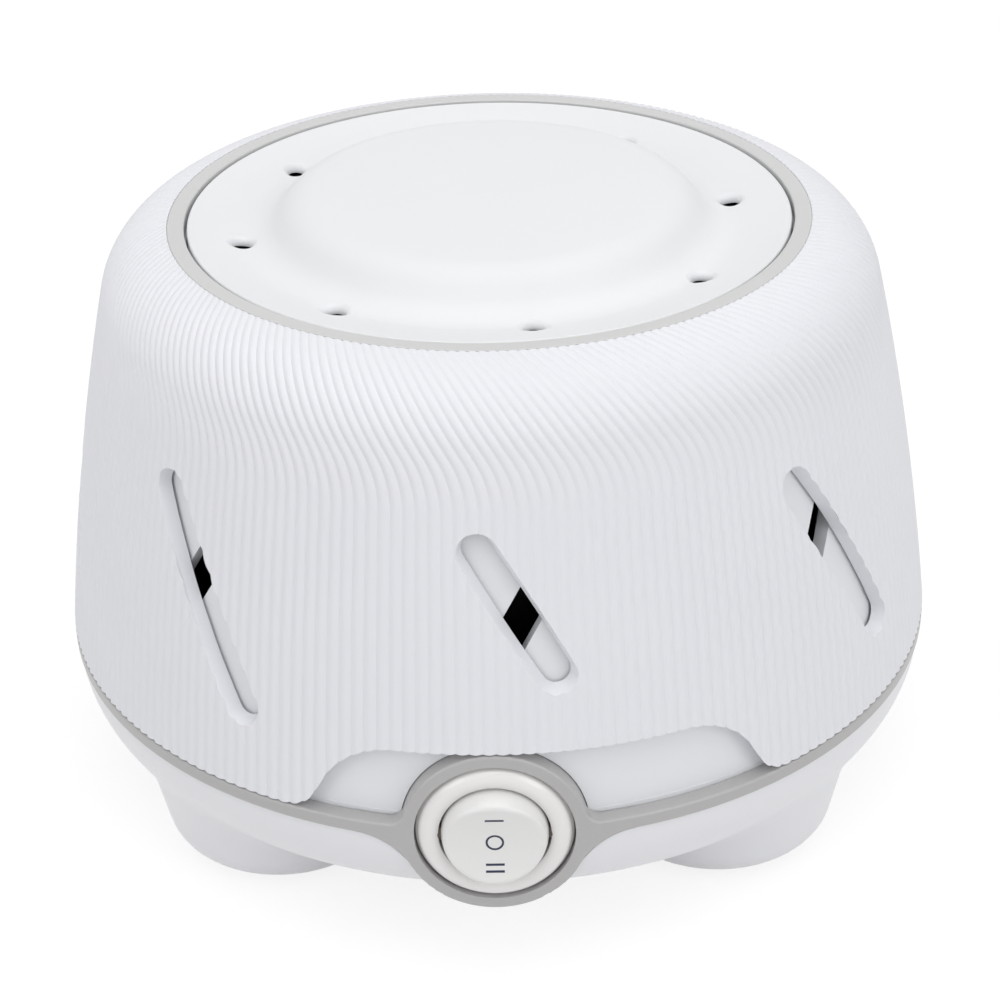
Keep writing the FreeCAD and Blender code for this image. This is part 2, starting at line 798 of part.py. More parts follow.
def cord_gland():
    """A flanged bush in the rear wall, with a nose around the cord's bore."""
    pad_face = base_radius + gland_pad
    reach = -(pivot_y() - rocker_reach)
    flange = rod_y(gland_flange_radius, pad_face, pad_face + gland_flange, 0, gland_height)
    body = rod_y(gland_radius, pad_face - gland_inside, pad_face + 1, 0, gland_height)
    nose = Part.makeCone(gland_flange_radius - 1, gland_radius, reach - pad_face,
                         Vector(0, pad_face, gland_height), Vector(0, 1, 0))
    bore = rod_y(gland_bore, pad_face - gland_inside - 1, reach + 1, 0, gland_height)
    return fused([flange, body, nose]).cut(bore)


def fan_drum():
    wall = tube(drum_radius, drum_radius - drum_wall, floor, deck_bottom - running_gap)
    ports = []
    for index in range(slot_count):
        wedge = Part.makeCylinder(drum_radius + past, slot_high - slot_low,
                                  Vector(0, 0, slot_low), Vector(0, 0, 1), drum_port_angle)
        start = -90 - drum_port_angle / 2 + housing_slot_shift_angle + (index + 0.5) * 360 / slot_count
        wedge.rotate(Vector(0, 0, 0), Vector(0, 0, 1), start)
        ports.append(wedge.cut(cylinder(drum_radius - drum_wall - past, 0, mouth.z)))
    half = panel_hole_radius + 1.5
    notch = block((-half, -drum_radius - past, floor), (half, -drum_radius + half, bezel_z + half))
    cord_hole = rod_y(gland_radius, drum_radius - drum_wall - past, drum_radius + past, 0, gland_height)
    return cut_all(wall, ports + [notch, cord_hole])


plate_top = plate_height + plate_thickness
stack_low = plate_top + bracket_thickness + bracket_post
stack_high = stack_low + stack_height
upper_bar = stack_high + bracket_post
bolt_places = (Vector(bolt_reach, bolt_offset, 0), Vector(-bolt_reach, -bolt_offset, 0))
leg_middle = (coil_leg_near + coil_leg_far) / 2


def motor_plate():
    body = cylinder(plate_disc, plate_height, plate_top)
    arms = []
    for at in foot_places(mount_circle):
        arm = block((0, -plate_arm / 2, plate_height), (mount_circle, plate_arm / 2, plate_top))
        arm.rotate(Vector(0, 0, 0), Vector(0, 0, 1), math.degrees(math.atan2(at.y, at.x)))
        arms.append(arm)
        arms.append(cylinder(plate_arm / 2 + 2, plate_height, plate_top, at.x, at.y))
    body = fused([body] + arms)
    tools = [cylinder(mount_waist, plate_height, plate_top, at.x, at.y)
             for at in foot_places(mount_circle)]
    tools.append(cylinder(hub_radius + 1, plate_height, plate_top))
    tools += [cylinder(bolt_radius, plate_height, plate_top, at.x, at.y) for at in bolt_places]
    return cut_all(body, tools)


def rubber_mounts():
    mounts = []
    low = plate_height - mount_step
    for at in foot_places(mount_circle):
        flanges = [cylinder(mount_flange, low, plate_height, at.x, at.y),
                   cylinder(mount_flange, plate_top, plate_top + mount_step, at.x, at.y)]
        waist = cylinder(mount_waist, low, plate_top + mount_step, at.x, at.y)
        bore = cylinder(screw_radius, low, plate_top + mount_step, at.x, at.y)
        mounts.append(fused(flanges + [waist]).cut(bore))
    return Part.makeCompound(mounts)


def mount_screws():
    seat = plate_top + mount_step
    return Part.makeCompound([pan_screw(seat, False, mount_screw_length, at.x, at.y)
                              for at in foot_places(mount_circle)])


def shade_frames():
    """The two copper shading loops, as centre x, inner y and outer y."""
    middle = rotor_radius + shade_offset
    return ((middle, -shade_near, -shade_far), (-middle, shade_near, shade_far))


def stator_core():
    """The lamination stack: two limbs, the rotor bore and the coil's leg."""
    body = block((-stack_half_width, -stack_front, stack_low),
                 (stack_half_width, coil_leg_far, stack_high))
    inner = stack_half_width - limb
    window = block((-inner, rotor_radius + 4, stack_low), (inner, coil_leg_near, stack_high))
    tools = [window, cylinder(rotor_radius + air_gap, stack_low, stack_high)]
    tools += [cylinder(bolt_radius, stack_low, stack_high, at.x, at.y) for at in bolt_places]
    for middle, near, far in shade_frames():
        for level in (near, far):
            half = shade_wire / 2 + shade_clear
            outer = math.copysign(abs(middle) + shade_strip / 2 + shade_clear, middle)
            low_x, high_x = sorted((0.0, outer))
            tools.append(block((low_x, level - half, stack_low), (high_x, level + half, stack_high)))
    return cut_all(body, tools)


def shading_rings():
    rings = []
    for middle, near, far in shade_frames():
        low_y, high_y = sorted((near, far))
        half = shade_wire / 2
        x_low, x_high = middle - shade_strip / 2, middle + shade_strip / 2
        outer = block((x_low, low_y - half, stack_low - shade_clear - shade_wire),
                      (x_high, high_y + half, stack_high + shade_clear + shade_wire))
        inner = block((x_low, low_y + half, stack_low - shade_clear),
                      (x_high, high_y - half, stack_high + shade_clear))
        rings.append(outer.cut(inner))
    return Part.makeCompound(rings)


def leg_box(half_length, margin):
    """A block around the coil's leg, larger than it by a margin."""
    return block((-half_length, coil_leg_near - margin, stack_low - margin),
                 (half_length, coil_leg_far + margin, stack_high + margin))


def coil_bobbin():
    wall = bobbin_wall
    core = leg_box(coil_half_length, wall + 0.2)
    cheeks = [leg_box(wall, coil_depth + 0.6), leg_box(wall, coil_depth + 0.6)]
    cheeks[0].translate(Vector(coil_half_length, 0, 0))
    cheeks[1].translate(Vector(-coil_half_length, 0, 0))
    return fused([core] + cheeks).cut(leg_box(coil_half_length + 5, 0.1))


def coil_winding():
    outer = leg_box(coil_half_length - bobbin_wall, coil_depth)
    rounded = [edge for edge in outer.Edges if edge.BoundBox.XLength > coil_half_length]
    outer = outer.makeFillet(coil_round, rounded)
    return outer.cut(leg_box(coil_half_length, bobbin_wall + 0.2))


def coil_terminal_places():
    return [Vector(side * (coil_half_length + bobbin_wall), leg_middle, stack_high + coil_tab_lift)
            for side in (-1, 1)]


def coil_terminals():
    tabs = []
    for at in coil_terminal_places():
        low_x, high_x = sorted((at.x, at.x + math.copysign(coil_tab_length, at.x)))
        tabs.append(block((low_x, at.y - 1.5, at.z - 0.4), (high_x, at.y + 1.5, at.z + 0.4)))
    return Part.makeCompound(tabs)


def bearing_bracket(bar_low, post_low, hub_low):
    """A bar between the two bolts, with posts to the stack and a bearing hub."""
    length = 2 * math.hypot(bolt_reach, bolt_offset)
    bar = block((-length / 2, -bracket_width / 2, bar_low),
                (length / 2, bracket_width / 2, bar_low + bracket_thickness))
    bar.rotate(Vector(0, 0, 0), Vector(0, 0, 1), math.degrees(math.atan2(bolt_offset, bolt_reach)))
    pieces = [bar]
    for at in bolt_places:
        pieces.append(cylinder(bracket_width / 2, bar_low, bar_low + bracket_thickness, at.x, at.y))
        pieces.append(cylinder(bolt_head_radius, post_low, post_low + bracket_post, at.x, at.y))
    pieces.append(cylinder(hub_radius, hub_low, hub_low + bearing_length))
    body = fused(pieces)
    tools = [cylinder(bearing_radius, hub_low, hub_low + bearing_length)]
    tools += [cylinder(bolt_radius, post_low - 20, post_low + 20, at.x, at.y) for at in bolt_places]
    return cut_all(body, tools)


lower_hub = plate_top - 1.8
upper_hub = upper_bar - 1.5


def lower_bearing_bracket():
    return bearing_bracket(plate_top, plate_top + bracket_thickness, lower_hub)


def upper_bearing_bracket():
    return bearing_bracket(upper_bar, stack_high, upper_hub)


def bearing(low):
    return tube(bearing_radius, shaft_radius + shaft_clearance, low, low + bearing_length)


def motor_bolts():
    bolts = []
    head = upper_bar + bracket_thickness
    for at in bolt_places:
        shank = cylinder(bolt_radius, plate_height - nut_height - 0.6, head + 0.5, at.x, at.y)
        bolts.append(fused([shank, cylinder(bolt_head_radius, head, head + bolt_head_height, at.x, at.y)]))
    return Part.makeCompound(bolts)


def motor_nuts():
    nuts = []
    for at in bolt_places:
        middle = Vector(at.x, at.y, plate_height - nut_height)
        corners = [middle + radial(60 * index, nut_radius, 0) for index in range(7)]
        nut = Part.Face(Part.makePolygon(corners)).extrude(Vector(0, 0, nut_height))
        nuts.append(nut.cut(cylinder(bolt_radius, middle.z, plate_height, at.x, at.y)))
    return Part.makeCompound(nuts)


def rotor_core():
    return tube(rotor_radius, shaft_radius, stack_low, stack_high)


def rotor_end_rings():
    inner = shaft_radius + 2
    return Part.makeCompound([
        tube(rotor_radius - 0.5, inner, stack_low - end_ring, stack_low),
        tube(rotor_radius - 0.5, inner, stack_high, stack_high + end_ring)])


fan_low = upper_hub + bearing_length + fan_lift


def motor_shaft():
    return cylinder(shaft_radius, lower_hub - 1, fan_low + fan_height + 1)


def blade(angle):
    """A curved upright blade, as a slice of a thin round wall."""
    middle = (blade_inner + fan_radius - 1) / 2
    offset = math.sqrt(blade_curve ** 2 - ((fan_radius - 1 - blade_inner) / 2) ** 2)
    wall = tube(blade_curve + blade_thickness / 2, blade_curve - blade_thickness / 2,
                fan_low + fan_disc / 2, fan_low + fan_height, middle, -offset)
    keep = block((blade_inner, -offset, fan_low), (fan_radius - 1, blade_curve, fan_low + fan_height))
    solid = wall.common(keep)
    solid.rotate(Vector(0, 0, 0), Vector(0, 0, 1), angle)
    return solid


def fan_wheel():
    disc = cylinder(fan_radius, fan_low, fan_low + fan_disc)
    hub = cylinder(fan_hub_radius, fan_low, fan_low + fan_height)
    body = fused([disc, hub] + [blade(angle) for angle in blade_angles])
    return body.cut(cylinder(shaft_radius, fan_low - 1, fan_low + fan_height + 1))


def wire(points, radius):
    """A round wire along straight runs joined by tangent arcs as large as the runs allow."""
    edges = []
    here = points[0]
    for before, corner, after in zip(points, points[1:], points[2:]):
        back = (before - corner).normalize()
        ahead = (after - corner).normalize()
        half_turn = (math.pi - back.getAngle(ahead)) / 2
        reach = 0.45 * min((before - corner).Length, (after - corner).Length)
        bend = reach / math.tan(half_turn)
        inward = (back + ahead).normalize()
        centre = corner + inward * (bend / math.cos(half_turn))
        start, end = corner + back * reach, corner + ahead * reach
        edges.append(Part.LineSegment(here, start).toShape())
        edges.append(Part.Arc(start, centre - inward * bend, end).toShape())
        here = end
    edges.append(Part.LineSegment(here, points[-1]).toShape())
    path = Part.Wire(edges)
    ring = Part.Wire(Part.makeCircle(radius, points[0], points[1] - points[0]))
    solid = path.makePipeShell([ring], True, True)
    return solid


def motor_leads():
    """Two wires from the switch's outer tabs, round the motor, to the coil's tabs."""
    tabs = (terminal_places()[0], terminal_places()[2])
    leads = []
    for side, tab, coil_tab in zip((-1, 1), tabs, coil_terminal_places()):
        start = tab + Vector(0, terminal_length, 0)
        end = coil_tab + Vector(side * coil_tab_length, 0, 0)
        points = [
            start,
            start + Vector(0, 5, 0),
            radial(side * 29, lead_circle - 2, (start.z + end.z) / 2),
            radial(side * 63, lead_circle, end.z - 3),
            radial(side * 98, lead_circle, end.z - 1),
            radial(side * 127, lead_circle + 2, end.z),
            end + Vector(side * 7, 0, 0),
            end,
        ]
        leads.append(wire(points, lead_radius))
    return Part.makeCompound(leads)


def parts():
    return {
        "collar": collar(),
        "top_trim_ring": top_trim_ring(),
        "cap": cap(),
        "cap_washer": cap_washer(),
        "cap_screw": cap_screw(),
        "inner_housing": inner_housing(),
        "trim_band": trim_band(),
        "base": base(),
        "foot_pads": foot_pads(),
        "housing_screws": housing_screws(),
        "cord_gland": cord_gland(),
        "switch_housing": switch_housing(),
        "switch_rocker": switch_rocker(),
        "rocker_pin": rocker_pin(),
        "switch_terminals": switch_terminals(),
        "fan_drum": fan_drum(),
        "motor_plate": motor_plate(),
        "rubber_mounts": rubber_mounts(),
        "mount_screws": mount_screws(),
        "stator_core": stator_core(),
        "shading_rings": shading_rings(),
        "coil_bobbin": coil_bobbin(),
        "coil_winding": coil_winding(),
        "coil_terminals": coil_terminals(),
        "lower_bearing_bracket": lower_bearing_bracket(),
        "upper_bearing_bracket": upper_bearing_bracket(),
        "lower_bearing": bearing(lower_hub),
        "upper_bearing": bearing(upper_hub),
        "motor_bolts": motor_bolts(),
        "motor_nuts": motor_nuts(),
        "rotor_core": rotor_core(),
        "rotor_end_rings": rotor_end_rings(),
        "motor_shaft": motor_shaft(),
        "fan_wheel": fan_wheel(),
        "motor_leads": motor_leads(),
    }


os.makedirs("parts", exist_ok=True)
for name, shape in parts().items():
    shape.exportStep("parts/" + name + ".step")
    sound = "valid" if shape.isValid() else "NOT VALID"
    box = shape.BoundBox
    print(name, len(shape.Solids), "solid", sound, round(shape.Volume, 1),
          [round(value, 2) for value in (box.XMin, box.XMax, box.YMin, box.YMax, box.ZMin, box.ZMax)])
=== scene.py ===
import json
import math
import bmesh
import bpy
from mathutils import Matrix, Vector


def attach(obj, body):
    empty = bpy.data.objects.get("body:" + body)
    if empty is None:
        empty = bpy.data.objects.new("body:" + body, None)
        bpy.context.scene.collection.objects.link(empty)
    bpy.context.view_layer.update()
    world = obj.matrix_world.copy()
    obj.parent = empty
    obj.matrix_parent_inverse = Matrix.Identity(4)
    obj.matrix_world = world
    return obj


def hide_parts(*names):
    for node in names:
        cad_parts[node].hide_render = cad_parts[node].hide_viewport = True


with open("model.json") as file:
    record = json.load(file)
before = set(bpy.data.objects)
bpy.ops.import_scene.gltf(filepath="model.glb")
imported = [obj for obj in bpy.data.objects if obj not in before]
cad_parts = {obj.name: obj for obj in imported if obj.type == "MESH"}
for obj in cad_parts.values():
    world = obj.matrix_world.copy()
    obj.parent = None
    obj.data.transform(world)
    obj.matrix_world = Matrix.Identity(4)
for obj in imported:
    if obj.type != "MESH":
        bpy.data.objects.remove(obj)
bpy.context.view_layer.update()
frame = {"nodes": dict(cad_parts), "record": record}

# Lengths are millimetres until a mesh is written, which scales them to metres.
# Named angles are degrees. Around the body, angles start at -Y, the front, and grow towards +X.
MM = 0.001

# Camera: what it looks at, how far it is from there and how it is turned
CAMERA_LENS = 87.88
CAMERA_SENSOR = 36.0
CAMERA_AIM = (0.66, 0.0, 43.37)
CAMERA_DISTANCE = 418.1
CAMERA_AROUND = 1.02
CAMERA_DOWN = 29.84
CAMERA_ROLL = -1.35

# Lamps: name, place, size and power, in metres and watts
LAMPS = (
    ("lamp_over", (0.05, -0.15, 1.3), 1.3, 8.1),
    ("lamp_left", (-1.0, -0.9, 0.8), 0.8, 3.3),
    ("lamp_right", (1.0, -0.9, 0.8), 0.8, 4.1),
)
LAMP_AIM = (0.0, 0.0, 0.05)

# Room and floor: how they light the object, and how they look to the camera
ROOM_LIGHT = 0.5
ROOM_SEEN = 1.0
FLOOR_TONE = 0.82
FLOOR_TONE_SEEN = 0.24
FLOOR_GLOW_SEEN = 0.81
FLOOR_HALF_WIDTH = 4.0

# Outer line of the ribbed shell, from its rim to its mouth
RIM_RADIUS = 73.0
RIM_HEIGHT = 29.0
SHELL_HEADING = 96.56
SHELL_MOVES = ((505.0, 5.62), (505.0, 1.12), (12.6, 59.5), (36.9, 4.4))
SHELL_STEPS = (4.2, 1.2, 0.8, 1.0)
SHELL_INNER_STEPS = (12.0, 6.0, 2.0, 3.0)
SHELL_WALL = 2.1
SHELL_TURN = 6.0

# Ribs of the shell, which run straight up and lean over on the shoulder
RIB_COUNT = 225
RIB_COLUMNS = 6
RIB_COPIES = (3, 3, 5, 5)
RIB_DEPTH = 0.32
RIB_DEPTH_AT_MOUTH = 0.16
RIB_FADE_WIDTH = 12.0
RIB_BEND_START = 49.6
RIB_BEND_END = 58.0
RIB_SLANT = 32.0

# Slots through the shell, narrower at its inner face. The front one starts higher.
SLOT_COUNT = 8
SLOT_WIDTH = 6.2
SLOT_NARROWING = 0.9
SLOT_LEAN = 29.9
SLOT_LOW = 39.7
SLOT_HIGH = 75.4
SLOT_FRONT_LOW = 50.3
SLOT_END_STEPS = 24
SLOT_BACK = -56.0

# Opening in the shell over the switch
OPENING_HALF_WIDTH = 38.6
OPENING_TOP = 41.25
OPENING_CORNER = 5.1
OPENING_INNER = 12.1
OPENING_FLANK = 60.7
OPENING_STEPS = (0.4, 2.0, 0.6)
OPENING_BACK = -45.0

# How far the cutting tools reach past the faces that they cut
CUT_FRONT = -80.0
CUT_PAST_OUTER = 0.3
CUT_PAST_INNER = 0.2
CUT_BELOW_RIM = 3.0

# Mouth of the shell and its grey ring
MOUTH_RADIUS = 51.49
MOUTH_HEIGHT = 97.35
LIP_RADIUS = 49.89
LIP_THICKNESS = 1.2
RING_INNER = 48.75
RING_OUTER_EDGE = 0.35
RING_INNER_EDGE = 0.3
RING_SKIRT = 1.0
RING_SKIRT_GAP = 0.05
RING_OUTER_STEP = 0.12
RING_INNER_STEP = 0.1

# Lid: its rim slopes in, then comes the valley, the brow and the slightly domed crown
LID_RADIUS = 48.3
LID_WALL = 2.0
LID_EDGE = 97.15
LID_EDGE_SOFT = 0.4
LID_EDGE_DROP = 0.45
LID_EDGE_STEP = 0.1
LID_SLOPE = 14.0
LID_MOVES = ((8.11, 0.0), (6.0, -64.0), (1.8, 0.0), (7.0, 47.0))
LID_STEPS = (1.5, 0.35, 0.9, 0.35, 3.0)
LID_INNER_STEPS = (4.0, 1.0, 1.8, 1.0, 6.0)
CROWN_SLOPE = 3.0
DECK_TOP = 92.45
DECK_BOTTOM = 90.25
LID_GAP = 0.3
LID_UNDER_ENDS = 0.4
LID_CORNER_RISE = 0.1
LID_PIVOT = 6.0
LID_PIVOT_BORE = 1.5
LID_PIVOT_BORE_DEPTH = 3.0
LID_STOP = 1.6
LID_STOP_CIRCLE = 25.0
LID_STOP_LENGTH = 9.0
LID_STOP_RISE = 0.4

# Holes of the lid, each with a rounded mouth and a thin wall over a room below
HOLE_COUNT = 8
HOLE_RADIUS = 1.6
HOLE_WALL = 1.25
HOLE_STRAIGHT = 0.05
HOLE_MOUTH = (1.27, -82.0)
HOLE_MOUTH_STEP = 0.13
HOLE_ROOM = 3.2
HOLE_ROOM_LOW = 2.6
HOLE_CUT_HIGH = 2.0
HOLE_CIRCLE = 39.8
HOLE_TURN = 10.1

# What gets painted shade, as the dark room under the lid: the lid's deeper faces, and the
# deck's top
SHADE_DEPTH = HOLE_WALL - 0.02
SHADE_LOW = DECK_TOP + 0.4
SHADE_RADIUS = LID_RADIUS - LID_WALL + 0.01
DECK_TOLERANCE = 0.4

# Rocker of the switch: its face is a dish about a line across it
SWITCH_HEIGHT = 26.85
DISH_RADIUS = 20.0
ROCKER_FRONT = 74.65
ROCKER_FACE_EDGE = 6.95

# Marks on the rocker: one bar, a ring and two bars
MARK_WIDTH = 2.8
MARK_LINE = 0.36
MARK_THICKNESS = 0.06
MARK_BARS = (4.35, -3.85, -4.95)
MARK_RING = (1.06, 1.38)

# Steps of a full turn, the angle of a hard edge, and how near two points are one
ROUND_STEPS = 180
SMALL_ROUND_STEPS = 48
PEG_STEPS = 32
HARD_EDGE = 32.0
WELD = 1e-4
RIB_WELD = 1e-3
NO_LENGTH = 1e-7

# Surfaces
DUST_COLOUR = (0.55, 0.54, 0.52)
# Painted shade on the deck's top under the lid
PAINTED_SHADE_COLOUR = (0.016, 0.021, 0.038)
ROUGH_SPREAD = 0.04
COAT_ROUGHNESS = 0.12
RELIEF_DISTANCE = 0.00004
DUST_UPWARD = 0.6
DUST_SPECKLE_LIMIT = 0.66


# Camera and studio

def photo_camera():
    """The camera at the photograph's place: a long lens that looks down on the front."""
    data = bpy.data.cameras.new("photo_camera")
    data.sensor_width = CAMERA_SENSOR
    data.sensor_height = CAMERA_SENSOR
    data.lens = CAMERA_LENS
    data.clip_start = 0.02
    data.clip_end = 20.0
    camera = bpy.data.objects.new("photo_camera", data)
    bpy.context.scene.collection.objects.link(camera)
    camera.matrix_world = (
        Matrix.Rotation(math.radians(CAMERA_AROUND), 4, "Z")
        @ Matrix.Translation(Vector(CAMERA_AIM) * MM)
        @ Matrix.Rotation(math.radians(90.0 - CAMERA_DOWN), 4, "X")
        @ Matrix.Rotation(math.radians(CAMERA_ROLL), 4, "Z")
        @ Matrix.Translation(Vector((0.0, 0.0, CAMERA_DISTANCE)) * MM)
    )
    bpy.context.scene.camera = camera


def softbox(name, place, size, power):
    """A square area lamp that looks at the object, in metres."""
    data = bpy.data.lights.new(name, "AREA")
    data.shape = "SQUARE"
    data.size = size
    data.energy = power
    lamp = bpy.data.objects.new(name, data)
    bpy.context.scene.collection.objects.link(lamp)
    lamp.location = place
    lamp.rotation_euler = (Vector(LAMP_AIM) - Vector(place)).to_track_quat("-Z", "Y").to_euler()


def seen_directly(nodes, links):
    """1 where the camera, a gloss or a glass ray looks, else 0."""
    path = nodes.new("ShaderNodeLightPath")
    gloss = nodes.new("ShaderNodeMath")
    gloss.operation = "MAXIMUM"
    links.new(path.outputs["Is Camera Ray"], gloss.inputs[0])
    links.new(path.outputs["Is Glossy Ray"], gloss.inputs[1])
    both = nodes.new("ShaderNodeMath")
    both.operation = "MAXIMUM"
    links.new(gloss.outputs[0], both.inputs[0])
    links.new(path.outputs["Is Transmission Ray"], both.inputs[1])
    return both.outputs[0]


def white_room():
    """A world that lights the object softly and looks white."""
    world = bpy.data.worlds.new("white_room")
    bpy.context.scene.world = world
    world.use_nodes = True
    nodes, links = world.node_tree.nodes, world.node_tree.links
    nodes.clear()
    mix = nodes.new("ShaderNodeMixShader")
    links.new(seen_directly(nodes, links), mix.inputs[0])
    for socket, strength in ((mix.inputs[1], ROOM_LIGHT), (mix.inputs[2], ROOM_SEEN)):
        light = nodes.new("ShaderNodeBackground")
        light.inputs["Color"].default_value = (1.0, 1.0, 1.0, 1.0)
        light.inputs["Strength"].default_value = strength
        links.new(light.outputs[0], socket)
    output = nodes.new("ShaderNodeOutputWorld")
    links.new(mix.outputs[0], output.inputs[0])


def floor_finish():
    """A pale floor that looks white and keeps a light shadow."""
    material = bpy.data.materials.new("studio_floor")
    material.use_nodes = True
    nodes, links = material.node_tree.nodes, material.node_tree.links
    nodes.clear()
    seen = seen_directly(nodes, links)
    tint = nodes.new("ShaderNodeMix")
    tint.data_type = "RGBA"
    tint.inputs[6].default_value = (FLOOR_TONE, FLOOR_TONE, FLOOR_TONE, 1.0)
    tint.inputs[7].default_value = (FLOOR_TONE_SEEN, FLOOR_TONE_SEEN, FLOOR_TONE_SEEN, 1.0)
    links.new(seen, tint.inputs["Factor"])
    paint = nodes.new("ShaderNodeBsdfDiffuse")
    links.new(tint.outputs[2], paint.inputs["Color"])
    lift = nodes.new("ShaderNodeMath")
    lift.operation = "MULTIPLY"
    lift.inputs[1].default_value = FLOOR_GLOW_SEEN
    links.new(seen, lift.inputs[0])
    glow = nodes.new("ShaderNodeEmission")
    glow.inputs["Color"].default_value = (1.0, 1.0, 1.0, 1.0)
    links.new(lift.outputs[0], glow.inputs["Strength"])
    total = nodes.new("ShaderNodeAddShader")
    output = nodes.new("ShaderNodeOutputMaterial")
    links.new(paint.outputs[0], total.inputs[0])
    links.new(glow.outputs[0], total.inputs[1])
    links.new(total.outputs[0], output.inputs[0])
    return material


def studio():
    """White surroundings, three soft lamps and a pale floor."""
    white_room()
    for name, place, size, power in LAMPS:
        softbox(name, place, size, power)
    sheet = bmesh.new()
    bmesh.ops.create_grid(sheet, x_segments=1, y_segments=1, size=FLOOR_HALF_WIDTH)
    floor = bpy.data.objects.new("studio_floor", bpy.data.meshes.new("studio_floor"))
    sheet.to_mesh(floor.data)
    sheet.free()
    bpy.context.scene.collection.objects.link(floor)
    floor.data.materials.append(floor_finish())


# Lines and solids

def bent_line(start, heading, moves, steps, inset=0.0):
    """Points (x, z) of a line of straights and arcs, moved to its left by inset.

    A move is (radius, turn), positive to the left, or (length, 0), with a step for each.
    """
    points = []
    x, z = start
    for (size, turn), step in zip(moves, steps):
        length = size if turn == 0 else size * math.radians(abs(turn))
        count = max(1, math.ceil(length / step))
        first = math.radians(heading)
        sign = math.copysign(1.0, turn)
        for index in range(count + 1):
            share = index / count
            angle = math.radians(heading + share * turn)
            if turn == 0:
                px = x + math.cos(angle) * size * share
                pz = z + math.sin(angle) * size * share
            else:
                px = x + sign * size * (math.sin(angle) - math.sin(first))
                pz = z - sign * size * (math.cos(angle) - math.cos(first))
            point = (px - math.sin(angle) * inset, pz + math.cos(angle) * inset)
            if not points or math.dist(points[-1], point) > WELD:
                points.append(point)
            last = (px, pz)
        x, z = last
        heading += turn
    return points


def outer_height(line, radius):
    """Height of a line of (x, z) points that runs inwards, at a radius."""
    for (x0, z0), (x1, z1) in zip(line, line[1:]):
        if x1 <= radius <= x0:
            return z0 + (z1 - z0) * (radius - x0) / (x1 - x0)
    return line[0][1]


def outer_radius(line, height):
    """Radius of a line of (x, z) points that runs upwards, at a height."""
    for (x0, z0), (x1, z1) in zip(line, line[1:]):
        if z0 <= height <= z1:
            return x0 + (x1 - x0) * (height - z0) / (z1 - z0)
    return line[0][0]


def spun(outline, steps):
    """A solid of revolution about Z of a closed outline of (x, z) points."""
    shape = bmesh.new()
    verts = [shape.verts.new((x, 0.0, z)) for x, z in outline]
    edges = [shape.edges.new(pair) for pair in zip(verts, verts[1:] + verts[:1])]
    bmesh.ops.spin(shape, geom=verts + edges, cent=(0, 0, 0), axis=(0, 0, 1), dvec=(0, 0, 0),
                   angle=math.tau, steps=steps, use_merge=True, use_duplicate=False)
    bmesh.ops.remove_doubles(shape, verts=shape.verts[:], dist=WELD)
    bmesh.ops.recalc_face_normals(shape, faces=shape.faces[:])
    return shape


def repeated_around(shape, sector, counts):
    """Copies a sector around the axis in rounds of counts, and welds the copies."""
    for count in counts:
        whole = shape.verts[:] + shape.edges[:] + shape.faces[:]
        bmesh.ops.spin(shape, geom=whole, cent=(0, 0, 0), axis=(0, 0, 1), dvec=(0, 0, 0),
                       angle=sector * (count - 1), steps=count - 1, use_duplicate=True)
        sector *= count
    bmesh.ops.remove_doubles(shape, verts=shape.verts[:], dist=RIB_WELD)
    bmesh.ops.recalc_face_normals(shape, faces=shape.faces[:])


def prism(outline, layers):
    """A solid through an outline of (x, z) points.

    Each layer is a function of a point and its outward direction that gives (x, y, z).
    """
    shape = bmesh.new()
    count = len(outline)
    outwards = []
    for index in range(count):
        ahead = outline[(index + 1) % count]
        behind = outline[index - 1]
        along = Vector((ahead[0] - behind[0], ahead[1] - behind[1])).normalized()
        outwards.append((along.y, -along.x))
    ring = [shape.verts.new(layers[0](point, out)) for point, out in zip(outline, outwards)]
    face = shape.faces.new(ring)
    for layer in layers[1:]:
        made = bmesh.ops.extrude_discrete_faces(shape, faces=[face])["faces"][0]
        for corner, point, out in zip(made.verts, outline, outwards):
            corner.co = layer(point, out)
        face = made
    shape.faces.new(ring)
    bmesh.ops.recalc_face_normals(shape, faces=shape.faces[:])
    return shape


def turned(shape, angle):
    """The shape, turned about the body's axis by radians."""
    turn = Matrix.Rotation(angle, 3, "Z")
    bmesh.ops.rotate(shape, cent=(0, 0, 0), matrix=turn, verts=shape.verts[:])
    return shape


def joined(shapes):
    """One shape of several that don't touch."""
    whole = bmesh.new()
    for shape in shapes:
        mesh = bpy.data.meshes.new("part_of_tool")
        shape.to_mesh(mesh)
        shape.free()
        whole.from_mesh(mesh)
        bpy.data.meshes.remove(mesh)
    return whole


def crisp(shape):
    """Smooth faces, with a hard edge wherever the surface turns sharply."""
    limit = math.radians(HARD_EDGE)
    for face in shape.faces:
        face.smooth = True
    for edge in shape.edges:
        edge.smooth = edge.is_manifold and edge.calc_face_angle(0.0) < limit
    return shape


def as_object(name, shape):
    """A mesh object in metres from a shape in millimetres."""
    bmesh.ops.scale(shape, vec=(MM, MM, MM), verts=shape.verts[:])
    mesh = bpy.data.meshes.new(name)
    shape.to_mesh(mesh)
    shape.free()
    made = bpy.data.objects.new(name, mesh)
    bpy.context.scene.collection.objects.link(made)
    return made


